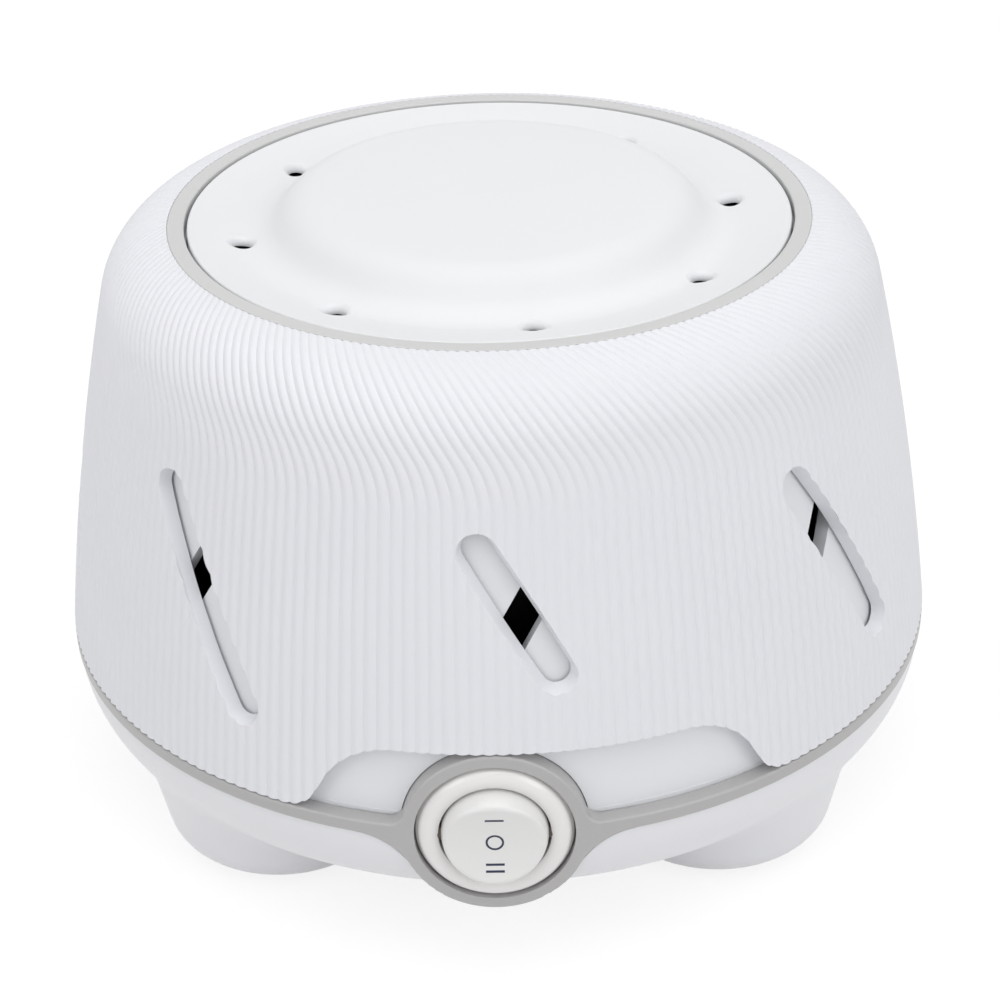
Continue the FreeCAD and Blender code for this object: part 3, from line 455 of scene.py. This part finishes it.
def carved(made, tools, operation="DIFFERENCE"):
    """Cuts a tool shape out of a piece, or adds it, and sets the piece's hard edges again."""
    tool = as_object(made.name + "_tool", tools)
    cut = made.modifiers.new("cut", "BOOLEAN")
    cut.operation = operation
    cut.solver = "MANIFOLD"
    cut.object = tool
    whole = made.evaluated_get(bpy.context.evaluated_depsgraph_get())
    mesh = bpy.data.meshes.new_from_object(whole)
    made.modifiers.clear()
    old = made.data
    made.data = mesh
    mesh.name = made.name
    bpy.data.meshes.remove(old)
    bpy.data.meshes.remove(tool.data)
    shape = bmesh.new()
    shape.from_mesh(mesh)
    bmesh.ops.dissolve_degenerate(shape, dist=NO_LENGTH, edges=shape.edges[:])
    crisp(shape)
    shape.to_mesh(mesh)
    shape.free()


def finished(made, body, material, stands_for=()):
    """Gives a piece its body and its finish, and hides the nodes that it stands for."""
    made.data.materials.clear()
    made.data.materials.append(material)
    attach(made, body)
    if stands_for:
        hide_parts(*stands_for)
    return made


# Shell

def rib_turns(line):
    """How far the ribs have turned, in radians, at each point of the shell's line."""
    turns = [0.0]
    along = 0.0
    for (x0, z0), (x1, z1) in zip(line, line[1:]):
        length = math.hypot(x1 - x0, z1 - z0)
        share = (along + length / 2 - RIB_BEND_START) / (RIB_BEND_END - RIB_BEND_START)
        slant = math.radians(RIB_SLANT) * min(1.0, max(0.0, share))
        turns.append(turns[-1] - math.tan(slant) * length / ((x0 + x1) / 2))
        along += length
    return turns


def slot_outline(low):
    """The slot's rounded outline at the front, as (x, z) points."""
    middle = (SLOT_LOW + SLOT_HIGH) / 2
    half = SLOT_WIDTH / 2
    slope = math.tan(math.radians(SLOT_LEAN))
    low_end = Vector(((middle - low - half) * slope, low + half))
    high_end = Vector(((middle - SLOT_HIGH + half) * slope, SLOT_HIGH - half))
    lead = (high_end - low_end).angle_signed(Vector((1.0, 0.0)))
    points = []
    for centre, start in ((high_end, lead + math.pi / 2), (low_end, lead - math.pi / 2)):
        for index in range(SLOT_END_STEPS + 1):
            turn = start - math.pi * index / SLOT_END_STEPS
            points.append((centre.x + half * math.cos(turn), centre.y + half * math.sin(turn)))
    return points[::-1]


def slot_tool(line, low, turn):
    """Cuts a slot that narrows from the shell's outer face to its inner face."""
    narrowing = SLOT_NARROWING / SHELL_WALL

    def moved_in(point, out, depth):
        return point[0] - out[0] * depth * narrowing, point[1] - out[1] * depth * narrowing

    def at_plane(y, depth):
        def layer(point, out):
            x, z = moved_in(point, out, depth)
            return (x, y, z)
        return layer

    def under_face(depth):
        def layer(point, out):
            x, z = moved_in(point, out, depth)
            return (x, depth - math.sqrt(outer_radius(line, z) ** 2 - x * x), z)
        return layer

    deep = SHELL_WALL + CUT_PAST_INNER
    return turned(prism(slot_outline(low), [
        at_plane(SLOT_BACK, deep), under_face(deep),
        under_face(-CUT_PAST_OUTER), at_plane(CUT_FRONT, -CUT_PAST_OUTER),
    ]), turn)


def opening_tool(turn):
    """Cuts the low opening in the shell's front, which frames the switch."""
    rise = OPENING_TOP - RIM_HEIGHT
    flank = math.radians(OPENING_FLANK)
    rounds = (OPENING_CORNER + OPENING_INNER) * (1 - math.cos(flank))
    straight = (rise - rounds) / math.sin(flank)
    moves = ((OPENING_CORNER, -OPENING_FLANK), (straight, 0), (OPENING_INNER, OPENING_FLANK))
    right = bent_line((OPENING_HALF_WIDTH, RIM_HEIGHT), 180.0, moves, OPENING_STEPS)
    outline = [(OPENING_HALF_WIDTH, RIM_HEIGHT - CUT_BELOW_RIM)] + right
    outline += [(-x, z) for x, z in reversed(outline)]
    return turned(prism(outline, [
        lambda point, out: (point[0], OPENING_BACK, point[1]),
        lambda point, out: (point[0], CUT_FRONT, point[1]),
    ]), turn)


def shape_ribs(shape, place, outer):
    """Moves one rib's points in from the shell's outer line, and along the rib's lean."""
    sector = math.tau / RIB_COUNT
    turns = rib_turns(outer)
    for vert in shape.verts:
        index = round(vert[place])
        if index < 0:
            continue
        angle = math.atan2(vert.co.y, vert.co.x)
        fade = min(1.0, max(0.0, (outer[index][0] - MOUTH_RADIUS) / RIB_FADE_WIDTH))
        depth = RIB_DEPTH_AT_MOUTH + (RIB_DEPTH - RIB_DEPTH_AT_MOUTH) * fade
        dip = depth * (1.0 - abs(math.sin(math.pi * angle / sector)))
        before = outer[max(0, index - 1)]
        after = outer[min(len(outer) - 1, index + 1)]
        run = Vector((after[0] - before[0], after[1] - before[1])).normalized()
        radius = outer[index][0] - run.y * dip
        height = outer[index][1] + run.x * dip
        leaned = angle + turns[index]
        vert.co = (radius * math.cos(leaned), radius * math.sin(leaned), height)


def ribbed_shell(material):
    """The turning shell: a wall with ribs that run up and then lean over the shoulder."""
    rim = (RIM_RADIUS, RIM_HEIGHT)
    outer = bent_line(rim, SHELL_HEADING, SHELL_MOVES, SHELL_STEPS)
    inner = bent_line(rim, SHELL_HEADING, SHELL_MOVES, SHELL_INNER_STEPS, SHELL_WALL)
    seat = MOUTH_HEIGHT - LIP_THICKNESS
    lip = [(MOUTH_RADIUS, seat), (LIP_RADIUS, seat), (LIP_RADIUS, MOUTH_HEIGHT - SHELL_WALL)]
    outline = outer + lip + inner[::-1]
    sector = math.tau / RIB_COUNT
    shape = bmesh.new()
    place = shape.verts.layers.float.new("place_on_line")
    verts = [shape.verts.new((x, 0.0, z)) for x, z in outline]
    for index, vert in enumerate(verts):
        vert[place] = index if index < len(outer) else -1.0
    edges = [shape.edges.new((verts[index - 1], verts[index])) for index in range(len(verts))]
    bmesh.ops.spin(shape, geom=verts + edges, cent=(0, 0, 0), axis=(0, 0, 1), dvec=(0, 0, 0),
                   angle=sector, steps=RIB_COLUMNS, use_merge=False, use_duplicate=False)
    shape_ribs(shape, place, outer)
    repeated_around(shape, sector, RIB_COPIES)
    shell = as_object("ribbed_shell", crisp(shape))
    turn = math.radians(SHELL_TURN)
    tools = [opening_tool(turn)]
    for index in range(SLOT_COUNT):
        low = SLOT_LOW if index else SLOT_FRONT_LOW
        tools.append(slot_tool(outer, low, turn + index * math.tau / SLOT_COUNT))
    carved(shell, joined(tools))
    return finished(shell, "collar_shell", material, ["collar"])


# Ring and lid in the shell's mouth

def mouth_ring(material):
    """The grey ring on the shell's lip, with softened edges and a skirt inside."""
    seat = MOUTH_HEIGHT - LIP_THICKNESS
    skirt = LIP_RADIUS - RING_SKIRT_GAP
    outline = [(MOUTH_RADIUS, seat)]
    outline += bent_line((MOUTH_RADIUS, MOUTH_HEIGHT - RING_OUTER_EDGE), 90.0,
                         ((RING_OUTER_EDGE, 90.0),), (RING_OUTER_STEP,))
    outline += bent_line((RING_INNER + RING_INNER_EDGE, MOUTH_HEIGHT), 180.0,
                         ((RING_INNER_EDGE, 90.0),), (RING_INNER_STEP,))
    outline += [(RING_INNER, seat - RING_SKIRT), (skirt, seat - RING_SKIRT), (skirt, seat)]
    ring = as_object("mouth_ring", crisp(spun(outline, ROUND_STEPS)))
    return finished(ring, "collar_shell", material, ["top_trim_ring"])


def lid_lines():
    """The lid's top line and its under line, each from the edge to the axis."""
    start, heading = (LID_RADIUS, LID_EDGE), 180.0 + LID_SLOPE
    brow = bent_line(start, heading, LID_MOVES, LID_STEPS)[-1]
    moves = LID_MOVES + ((brow[0] / math.sin(math.radians(CROWN_SLOPE)), CROWN_SLOPE),)
    return (bent_line(start, heading, moves, LID_STEPS),
            bent_line(start, heading, moves, LID_INNER_STEPS, LID_WALL))


def hole_tool(top, angle):
    """Cuts one hole: a bore with a rounded mouth, and a room below that leaves a thin wall."""
    level = outer_height(top, HOLE_CIRCLE)
    mouth = bent_line((HOLE_RADIUS, HOLE_STRAIGHT - HOLE_WALL), 90.0, (HOLE_MOUTH,),
                      (HOLE_MOUTH_STEP,))
    outline = [(0.0, -HOLE_ROOM_LOW), (HOLE_ROOM, -HOLE_ROOM_LOW), (HOLE_ROOM, -HOLE_WALL),
               (HOLE_RADIUS, -HOLE_WALL)] + mouth
    outline += [(mouth[-1][0], HOLE_CUT_HIGH), (0.0, HOLE_CUT_HIGH)]
    tool = spun(outline, SMALL_ROUND_STEPS)
    bmesh.ops.translate(tool, vec=(0.0, -HOLE_CIRCLE, level), verts=tool.verts[:])
    for vert in tool.verts:
        if vert.co.z > level - (HOLE_ROOM_LOW + HOLE_WALL) / 2:
            vert.co.z += outer_height(top, math.hypot(vert.co.x, vert.co.y)) - level
    return turned(tool, angle)


def lid_outline(top, under):
    """The lid's closed outline: its top, its pivot under the middle and its skirt."""
    inner_radius = LID_RADIUS - LID_WALL
    skirt_low = DECK_TOP + LID_GAP
    pivot_low = DECK_BOTTOM - LID_GAP
    bore_top = DECK_TOP + LID_PIVOT_BORE_DEPTH
    edge = bent_line((LID_RADIUS, LID_EDGE - LID_EDGE_DROP), 90.0,
                     ((LID_EDGE_SOFT, 90.0 - LID_SLOPE),), (LID_EDGE_STEP,))
    inside = [point for point in reversed(under)
              if LID_PIVOT + LID_UNDER_ENDS < point[0] < inner_radius - LID_UNDER_ENDS]
    outline = [(LID_RADIUS, skirt_low)] + edge + top[2:]
    outline = [point for point in outline if point[0] > WELD] + [(0.0, top[-1][1])]
    outline += [(0.0, bore_top), (LID_PIVOT_BORE, bore_top), (LID_PIVOT_BORE, pivot_low),
                (LID_PIVOT, pivot_low), (LID_PIVOT, inside[0][1])]
    corner = (inner_radius, inside[-1][1] + LID_CORNER_RISE)
    return outline + inside + [corner, (inner_radius, skirt_low)]


def dished_lid(material, shade):
    """The turning lid: a dish with a raised middle, a skirt, a pivot, a stop and its holes."""
    top, under = lid_lines()
    lid = as_object("dished_lid", crisp(spun(lid_outline(top, under), ROUND_STEPS)))
    peg = bmesh.new()
    bmesh.ops.create_cone(peg, cap_ends=True, segments=PEG_STEPS, radius1=LID_STOP,
                          radius2=LID_STOP, depth=LID_STOP_LENGTH)
    peg_middle = DECK_BOTTOM + LID_STOP_RISE + LID_STOP_LENGTH / 2
    bmesh.ops.translate(peg, vec=(0.0, -LID_STOP_CIRCLE, peg_middle), verts=peg.verts[:])
    carved(lid, peg, operation="UNION")
    turn = math.radians(HOLE_TURN)
    carved(lid, joined([hole_tool(top, turn + index * math.tau / HOLE_COUNT)
                        for index in range(HOLE_COUNT)]))
    finished(lid, "cap_lid", material, ["cap"])
    lid.data.materials.append(shade)
    # Faces deep under the lid's top, over the deck, get the second finish: painted shade.
    for face in lid.data.polygons:
        x, y, z = face.center / MM
        radius = math.hypot(x, y)
        deep = outer_height(top, radius) - z > SHADE_DEPTH
        within = z > SHADE_LOW and radius < SHADE_RADIUS
        face.material_index = int(deep and within)
    return lid


# Marks on the rocker

def dish_depth(rise):
    """How deep the rocker's dish lies behind its front, at a height from its middle."""
    edge = math.sqrt(DISH_RADIUS ** 2 - ROCKER_FACE_EDGE ** 2)
    return math.sqrt(DISH_RADIUS ** 2 - rise ** 2) - edge


def switch_marks(material):
    """The printed marks: one bar, a ring and two bars, laid on the dish."""
    shape = bmesh.new()
    for rise in MARK_BARS:
        bar = bmesh.ops.create_cube(shape, size=1.0)["verts"]
        bmesh.ops.scale(shape, vec=(MARK_WIDTH, MARK_THICKNESS, MARK_LINE), verts=bar)
        bmesh.ops.translate(shape, vec=(0.0, 0.0, rise), verts=bar)
    bars = shape.verts[:]
    half = MARK_THICKNESS / 2
    inner, outer = MARK_RING
    corners = ((inner, -half), (outer, -half), (outer, half), (inner, half))
    section = [shape.verts.new((x, y, 0.0)) for x, y in corners]
    edges = [shape.edges.new((section[index - 1], section[index])) for index in range(4)]
    bmesh.ops.spin(shape, geom=section + edges, cent=(0, 0, 0), axis=(0, 1, 0), dvec=(0, 0, 0),
                   angle=math.tau, steps=SMALL_ROUND_STEPS, use_merge=True,
                   use_duplicate=False)
    ring = [vert for vert in shape.verts if vert not in bars]
    bmesh.ops.remove_doubles(shape, verts=ring, dist=WELD)
    for vert in shape.verts:
        vert.co.y += dish_depth(vert.co.z) - ROCKER_FRONT
        vert.co.z += SWITCH_HEIGHT
    bmesh.ops.recalc_face_normals(shape, faces=shape.faces[:])
    return finished(as_object("switch_marks", crisp(shape)), "rocker", material)


# Groups of shader nodes that the materials share

def new_group(name, inputs, outputs):
    """A shader group with float inputs and outputs: the tree and its two ends."""
    tree = bpy.data.node_groups.new(name, "ShaderNodeTree")
    for label, value in inputs:
        socket = tree.interface.new_socket(name=label, in_out="INPUT",
                                           socket_type="NodeSocketFloat")
        socket.default_value = value
    for label in outputs:
        tree.interface.new_socket(name=label, in_out="OUTPUT", socket_type="NodeSocketFloat")
    return tree, tree.nodes.new("NodeGroupInput"), tree.nodes.new("NodeGroupOutput")


def calc(tree, operation, first, second=0.0, clamp=False):
    """A math node on two sockets or numbers."""
    node = tree.nodes.new("ShaderNodeMath")
    node.operation = operation
    node.use_clamp = clamp
    for socket, value in zip(node.inputs, (first, second)):
        if isinstance(value, (int, float)):
            socket.default_value = value
        else:
            tree.links.new(value, socket)
    return node.outputs[0]


def blended(tree, first, share, second, other_share):
    """Two values, added up by their shares."""
    return calc(tree, "ADD", calc(tree, "MULTIPLY", first, share),
                calc(tree, "MULTIPLY", second, other_share))


def noise_at(tree, place, scale, detail):
    """Noise of a scale, which is a number or a socket."""
    node = tree.nodes.new("ShaderNodeTexNoise")
    node.inputs["Detail"].default_value = detail
    if isinstance(scale, (int, float)):
        node.inputs["Scale"].default_value = scale
    else:
        tree.links.new(scale, node.inputs["Scale"])
    tree.links.new(place, node.inputs["Vector"])
    return node.outputs["Fac"]


def place_on_piece(tree):
    """The piece's own coordinates."""
    return tree.nodes.new("ShaderNodeTexCoord").outputs["Object"]


def axes_of(tree, vector):
    """The three values of a vector, by the names X, Y and Z."""
    node = tree.nodes.new("ShaderNodeSeparateXYZ")
    tree.links.new(vector, node.inputs[0])
    return node.outputs


def moulded_skin():
    """Fine eroded grain and slow mottle of moulded plastic, rubber or cast metal."""
    tree, given, result = new_group("moulded_skin", [("Grain per metre", 2600.0)],
                                    ["Tone", "Height"])
    place = place_on_piece(tree)
    grain = noise_at(tree, place, scale=given.outputs["Grain per metre"], detail=3.0)
    flow = noise_at(tree, place, scale=55.0, detail=3.0)
    tree.links.new(blended(tree, flow, 0.7, grain, 0.3), result.inputs["Tone"])
    tree.links.new(grain, result.inputs["Height"])
    return tree


def settled_dust():
    """More on faces that look up, broken up by noise."""
    tree, given, result = new_group("settled_dust", [("Amount", 1.0)], ["Mask"])
    normal = tree.nodes.new("ShaderNodeNewGeometry").outputs["Normal"]
    place = place_on_piece(tree)
    upward = calc(tree, "MULTIPLY", axes_of(tree, normal)["Z"], DUST_UPWARD, clamp=True)
    speckle = calc(tree, "GREATER_THAN", noise_at(tree, place, scale=900.0, detail=4.0),
                   DUST_SPECKLE_LIMIT)
    drift = noise_at(tree, place, scale=40.0, detail=2.0)
    film = calc(tree, "MULTIPLY", upward, blended(tree, speckle, 0.35, drift, 0.4))
    tree.links.new(calc(tree, "MULTIPLY", film, given.outputs["Amount"]), result.inputs["Mask"])
    return tree


def drawn_metal():
    """Fine lines of drawn, rolled or turned metal, long in one direction."""
    tree, given, result = new_group("drawn_metal", [("Across", 5200.0), ("Along", 260.0)],
                                    ["Tone", "Height"])
    place = place_on_piece(tree)
    axes = axes_of(tree, place)
    stretched = tree.nodes.new("ShaderNodeCombineXYZ")
    for axis, label in zip("XYZ", ("Along", "Across", "Across")):
        scaled = calc(tree, "MULTIPLY", axes[axis], given.outputs[label])
        tree.links.new(scaled, stretched.inputs[axis])
    lines = noise_at(tree, stretched.outputs[0], scale=1.0, detail=2.0)
    stain = noise_at(tree, place, scale=90.0, detail=3.0)
    tree.links.new(blended(tree, lines, 0.6, stain, 0.4), result.inputs["Tone"])
    tree.links.new(lines, result.inputs["Height"])
    return tree


def stacked_turns():
    """Even bands: the sheets of a core, or the turns of a winding."""
    tree, given, result = new_group("stacked_turns", [("X bands", 0.0), ("Z bands", 0.0)],
                                    ["Tone", "Height"])
    place = place_on_piece(tree)
    axes = axes_of(tree, place)
    phase = blended(tree, axes["X"], given.outputs["X bands"],
                    axes["Z"], given.outputs["Z bands"])
    saw = calc(tree, "FRACT", phase)
    bulge = calc(tree, "SINE", calc(tree, "MULTIPLY", saw, math.pi))
    mottle = noise_at(tree, place, scale=300.0, detail=3.0)
    tree.links.new(blended(tree, bulge, 0.6, mottle, 0.4), result.inputs["Tone"])
    tree.links.new(bulge, result.inputs["Height"])
    return tree


def painted_deck_shade():
    """1 on the deck under the lid, where its colour is painted dark as shade for the shallow
    room that only the holes light.
    """
    tree, given, result = new_group("painted_deck_shade", [("Strength", 1.0)], ["Mask"])
    axes = axes_of(tree, place_on_piece(tree))
    radius = calc(tree, "SQRT", calc(tree, "ADD", calc(tree, "POWER", axes["X"], 2.0),
                                     calc(tree, "POWER", axes["Y"], 2.0)))
    above = calc(tree, "ABSOLUTE", calc(tree, "SUBTRACT", axes["Z"], DECK_TOP * MM))
    deck = calc(tree, "MULTIPLY", calc(tree, "LESS_THAN", above, DECK_TOLERANCE * MM),
                calc(tree, "LESS_THAN", radius, LID_RADIUS * MM))
    tree.links.new(calc(tree, "MULTIPLY", deck, given.outputs["Strength"]),
                   result.inputs["Mask"])
    return tree


# Materials

GROUPS = {}


def placed_group(tree, make, settings=None):
    """A group node in a material, with its inputs set. Its tree is made on its first use."""
    if make not in GROUPS:
        GROUPS[make] = make()
    node = tree.nodes.new("ShaderNodeGroup")
    node.node_tree = GROUPS[make]
    for label, value in (settings or {}).items():
        node.inputs[label].default_value = value
    return node


def mixed(tree, share, first, second):
    """A colour between two, each a colour or a socket, by a socket's value."""
    node = tree.nodes.new("ShaderNodeMix")
    node.data_type = "RGBA"
    tree.links.new(share, node.inputs["Factor"])
    for socket, colour in ((node.inputs[6], first), (node.inputs[7], second)):
        if isinstance(colour, tuple):
            socket.default_value = (*colour, 1.0)
        else:
            tree.links.new(colour, socket)
    return node.outputs[2]


def surface(name, pattern, light, dark, rough, relief, settings=None, metal=0.0, coat=0.0,
            gloss=0.5, dust=0.0, shaded_deck=False):
    """A Principled material whose colour, roughness and relief follow one of the patterns."""
    material = bpy.data.materials.new(name)
    material.use_nodes = True
    tree = material.node_tree
    shader = tree.nodes["Principled BSDF"]
    made = placed_group(tree, pattern, settings)
    colour = mixed(tree, made.outputs["Tone"], dark, light)
    if dust:
        film = placed_group(tree, settled_dust, {"Amount": dust})
        colour = mixed(tree, film.outputs["Mask"], colour, DUST_COLOUR)
    # Painted shade: the deck's top under the lid is darkened to the shade colour.
    if shaded_deck:
        colour = mixed(tree, placed_group(tree, painted_deck_shade).outputs["Mask"], colour,
                       PAINTED_SHADE_COLOUR)
    tree.links.new(colour, shader.inputs["Base Color"])
    spread = tree.nodes.new("ShaderNodeMapRange")
    spread.inputs["To Min"].default_value = rough + ROUGH_SPREAD
    spread.inputs["To Max"].default_value = rough - ROUGH_SPREAD
    tree.links.new(made.outputs["Tone"], spread.inputs["Value"])
    tree.links.new(spread.outputs["Result"], shader.inputs["Roughness"])
    shader.inputs["Metallic"].default_value = metal
    shader.inputs["Specular IOR Level"].default_value = gloss
    shader.inputs["Coat Weight"].default_value = coat
    shader.inputs["Coat Roughness"].default_value = COAT_ROUGHNESS
    bump = tree.nodes.new("ShaderNodeBump")
    bump.inputs["Strength"].default_value = relief
    bump.inputs["Distance"].default_value = RELIEF_DISTANCE
    tree.links.new(made.outputs["Height"], bump.inputs["Height"])
    tree.links.new(bump.outputs["Normal"], shader.inputs["Normal"])
    return material


def finishes():
    """A material for each slot of the record, and four more for single places."""
    made = {}

    def add(name, pattern, light, dark, rough, relief, **more):
        made[name] = surface(name, pattern, light, dark, rough, relief, **more)

    def grain(count):
        return {"Grain per metre": count}

    # White mouldings outside
    add("shell_white", moulded_skin, (0.800, 0.806, 0.842), (0.772, 0.778, 0.816),
        rough=0.50, relief=0.10, dust=0.05, gloss=0.35)
    add("cap_white", moulded_skin, (0.815, 0.822, 0.838), (0.792, 0.799, 0.816),
        rough=0.50, relief=0.10, dust=0.05, gloss=0.3)
    add("housing_white", moulded_skin, (0.800, 0.812, 0.838), (0.776, 0.788, 0.814),
        rough=0.38, relief=0.06, shaded_deck=True)
    add("base_white", moulded_skin, (0.812, 0.814, 0.842), (0.790, 0.792, 0.820),
        rough=0.40, relief=0.08)
    add("switch_white", moulded_skin, (0.830, 0.815, 0.808), (0.805, 0.790, 0.782),
        rough=0.20, relief=0.04, coat=0.5)
    add("rocker_white", moulded_skin, (0.800, 0.795, 0.790), (0.778, 0.772, 0.766),
        rough=0.24, relief=0.04, coat=0.3)

    # Grey trim, marks and the painted shade under the lid
    add("ring_grey", moulded_skin, (0.610, 0.612, 0.608), (0.580, 0.582, 0.578),
        rough=0.34, relief=0.10, dust=0.04)
    add("trim_grey", moulded_skin, (0.470, 0.462, 0.462), (0.440, 0.432, 0.432),
        rough=0.34, relief=0.10, dust=0.04)
    add("mark_ink", moulded_skin, (0.030, 0.040, 0.080), (0.015, 0.020, 0.050),
        rough=0.5, relief=0.1)
    add("painted_shade_room", moulded_skin, (0.020, 0.026, 0.045), (0.012, 0.016, 0.030),
        rough=0.60, relief=0.10)

    # Rubber and dark plastic
    add("pad_rubber", moulded_skin, (0.060, 0.060, 0.062), (0.030, 0.030, 0.032),
        rough=0.75, relief=0.5, settings=grain(1500.0))
    add("gland_rubber", moulded_skin, (0.640, 0.640, 0.650), (0.590, 0.590, 0.600),
        rough=0.62, relief=0.3, settings=grain(1700.0))
    add("bobbin_black", moulded_skin, (0.050, 0.050, 0.052), (0.030, 0.030, 0.031),
        rough=0.45, relief=0.3)
    add("drum_black", moulded_skin, (0.022, 0.022, 0.024), (0.012, 0.012, 0.013),
        rough=0.50, relief=0.3)
    add("fan_black", moulded_skin, (0.032, 0.032, 0.034), (0.018, 0.018, 0.019),
        rough=0.46, relief=0.3, dust=0.3)
    add("lead_white", moulded_skin, (0.740, 0.740, 0.735), (0.660, 0.660, 0.655),
        rough=0.42, relief=0.2, settings=grain(1200.0))

    # Metals
    add("brass_tab", drawn_metal, (0.780, 0.600, 0.300), (0.600, 0.440, 0.200),
        rough=0.32, relief=0.3, metal=1.0)
    # The rocker's pin: steel painted dark brown, as painted shade at the rocker's sides.
    add("pin_steel_painted_shade", drawn_metal, (0.120, 0.095, 0.080), (0.070, 0.055, 0.046),
        rough=0.50, relief=0.2, metal=0.4)
    add("steel", drawn_metal, (0.640, 0.640, 0.660), (0.480, 0.480, 0.500),
        rough=0.30, relief=0.3, metal=1.0)
    add("plate_steel", drawn_metal, (0.560, 0.560, 0.580), (0.400, 0.400, 0.420),
        rough=0.42, relief=0.4, metal=1.0, settings={"Across": 2600.0})
    add("lamination", stacked_turns, (0.240, 0.240, 0.250), (0.090, 0.090, 0.100),
        rough=0.52, relief=0.8, metal=0.8, settings={"Z bands": 2000.0})
    add("copper", stacked_turns, (0.680, 0.290, 0.130), (0.300, 0.100, 0.045),
        rough=0.30, relief=1.0, metal=0.9, settings={"X bands": 2400.0})
    add("bracket_alloy", moulded_skin, (0.660, 0.665, 0.680), (0.540, 0.545, 0.560),
        rough=0.48, relief=0.6, metal=1.0, settings=grain(1900.0))
    add("bronze", moulded_skin, (0.600, 0.400, 0.200), (0.380, 0.240, 0.120),
        rough=0.46, relief=0.7, metal=1.0, settings=grain(3600.0))
    return made


def finish_nodes(made_of):
    """Gives each node that is shown as built the finish of its slot; the rocker's pin gets a
    dark finish instead, as painted shade.
    """
    slot_of = {part["node"]: part["material_slot"] for part in frame["record"]["subparts"]}
    # The rocker's pin gets the steel finish painted dark as shade.
    slot_of["rocker_pin"] = "pin_steel_painted_shade"
    for name, node in frame["nodes"].items():
        node.data.materials.clear()
        node.data.materials.append(made_of[slot_of[name]])


bpy.context.scene.view_settings.view_transform = "Standard"
photo_camera()
studio()
made_of = finishes()
ribbed_shell(made_of["shell_white"])
mouth_ring(made_of["ring_grey"])
dished_lid(made_of["cap_white"], made_of["painted_shade_room"])
switch_marks(made_of["mark_ink"])
finish_nodes(made_of)
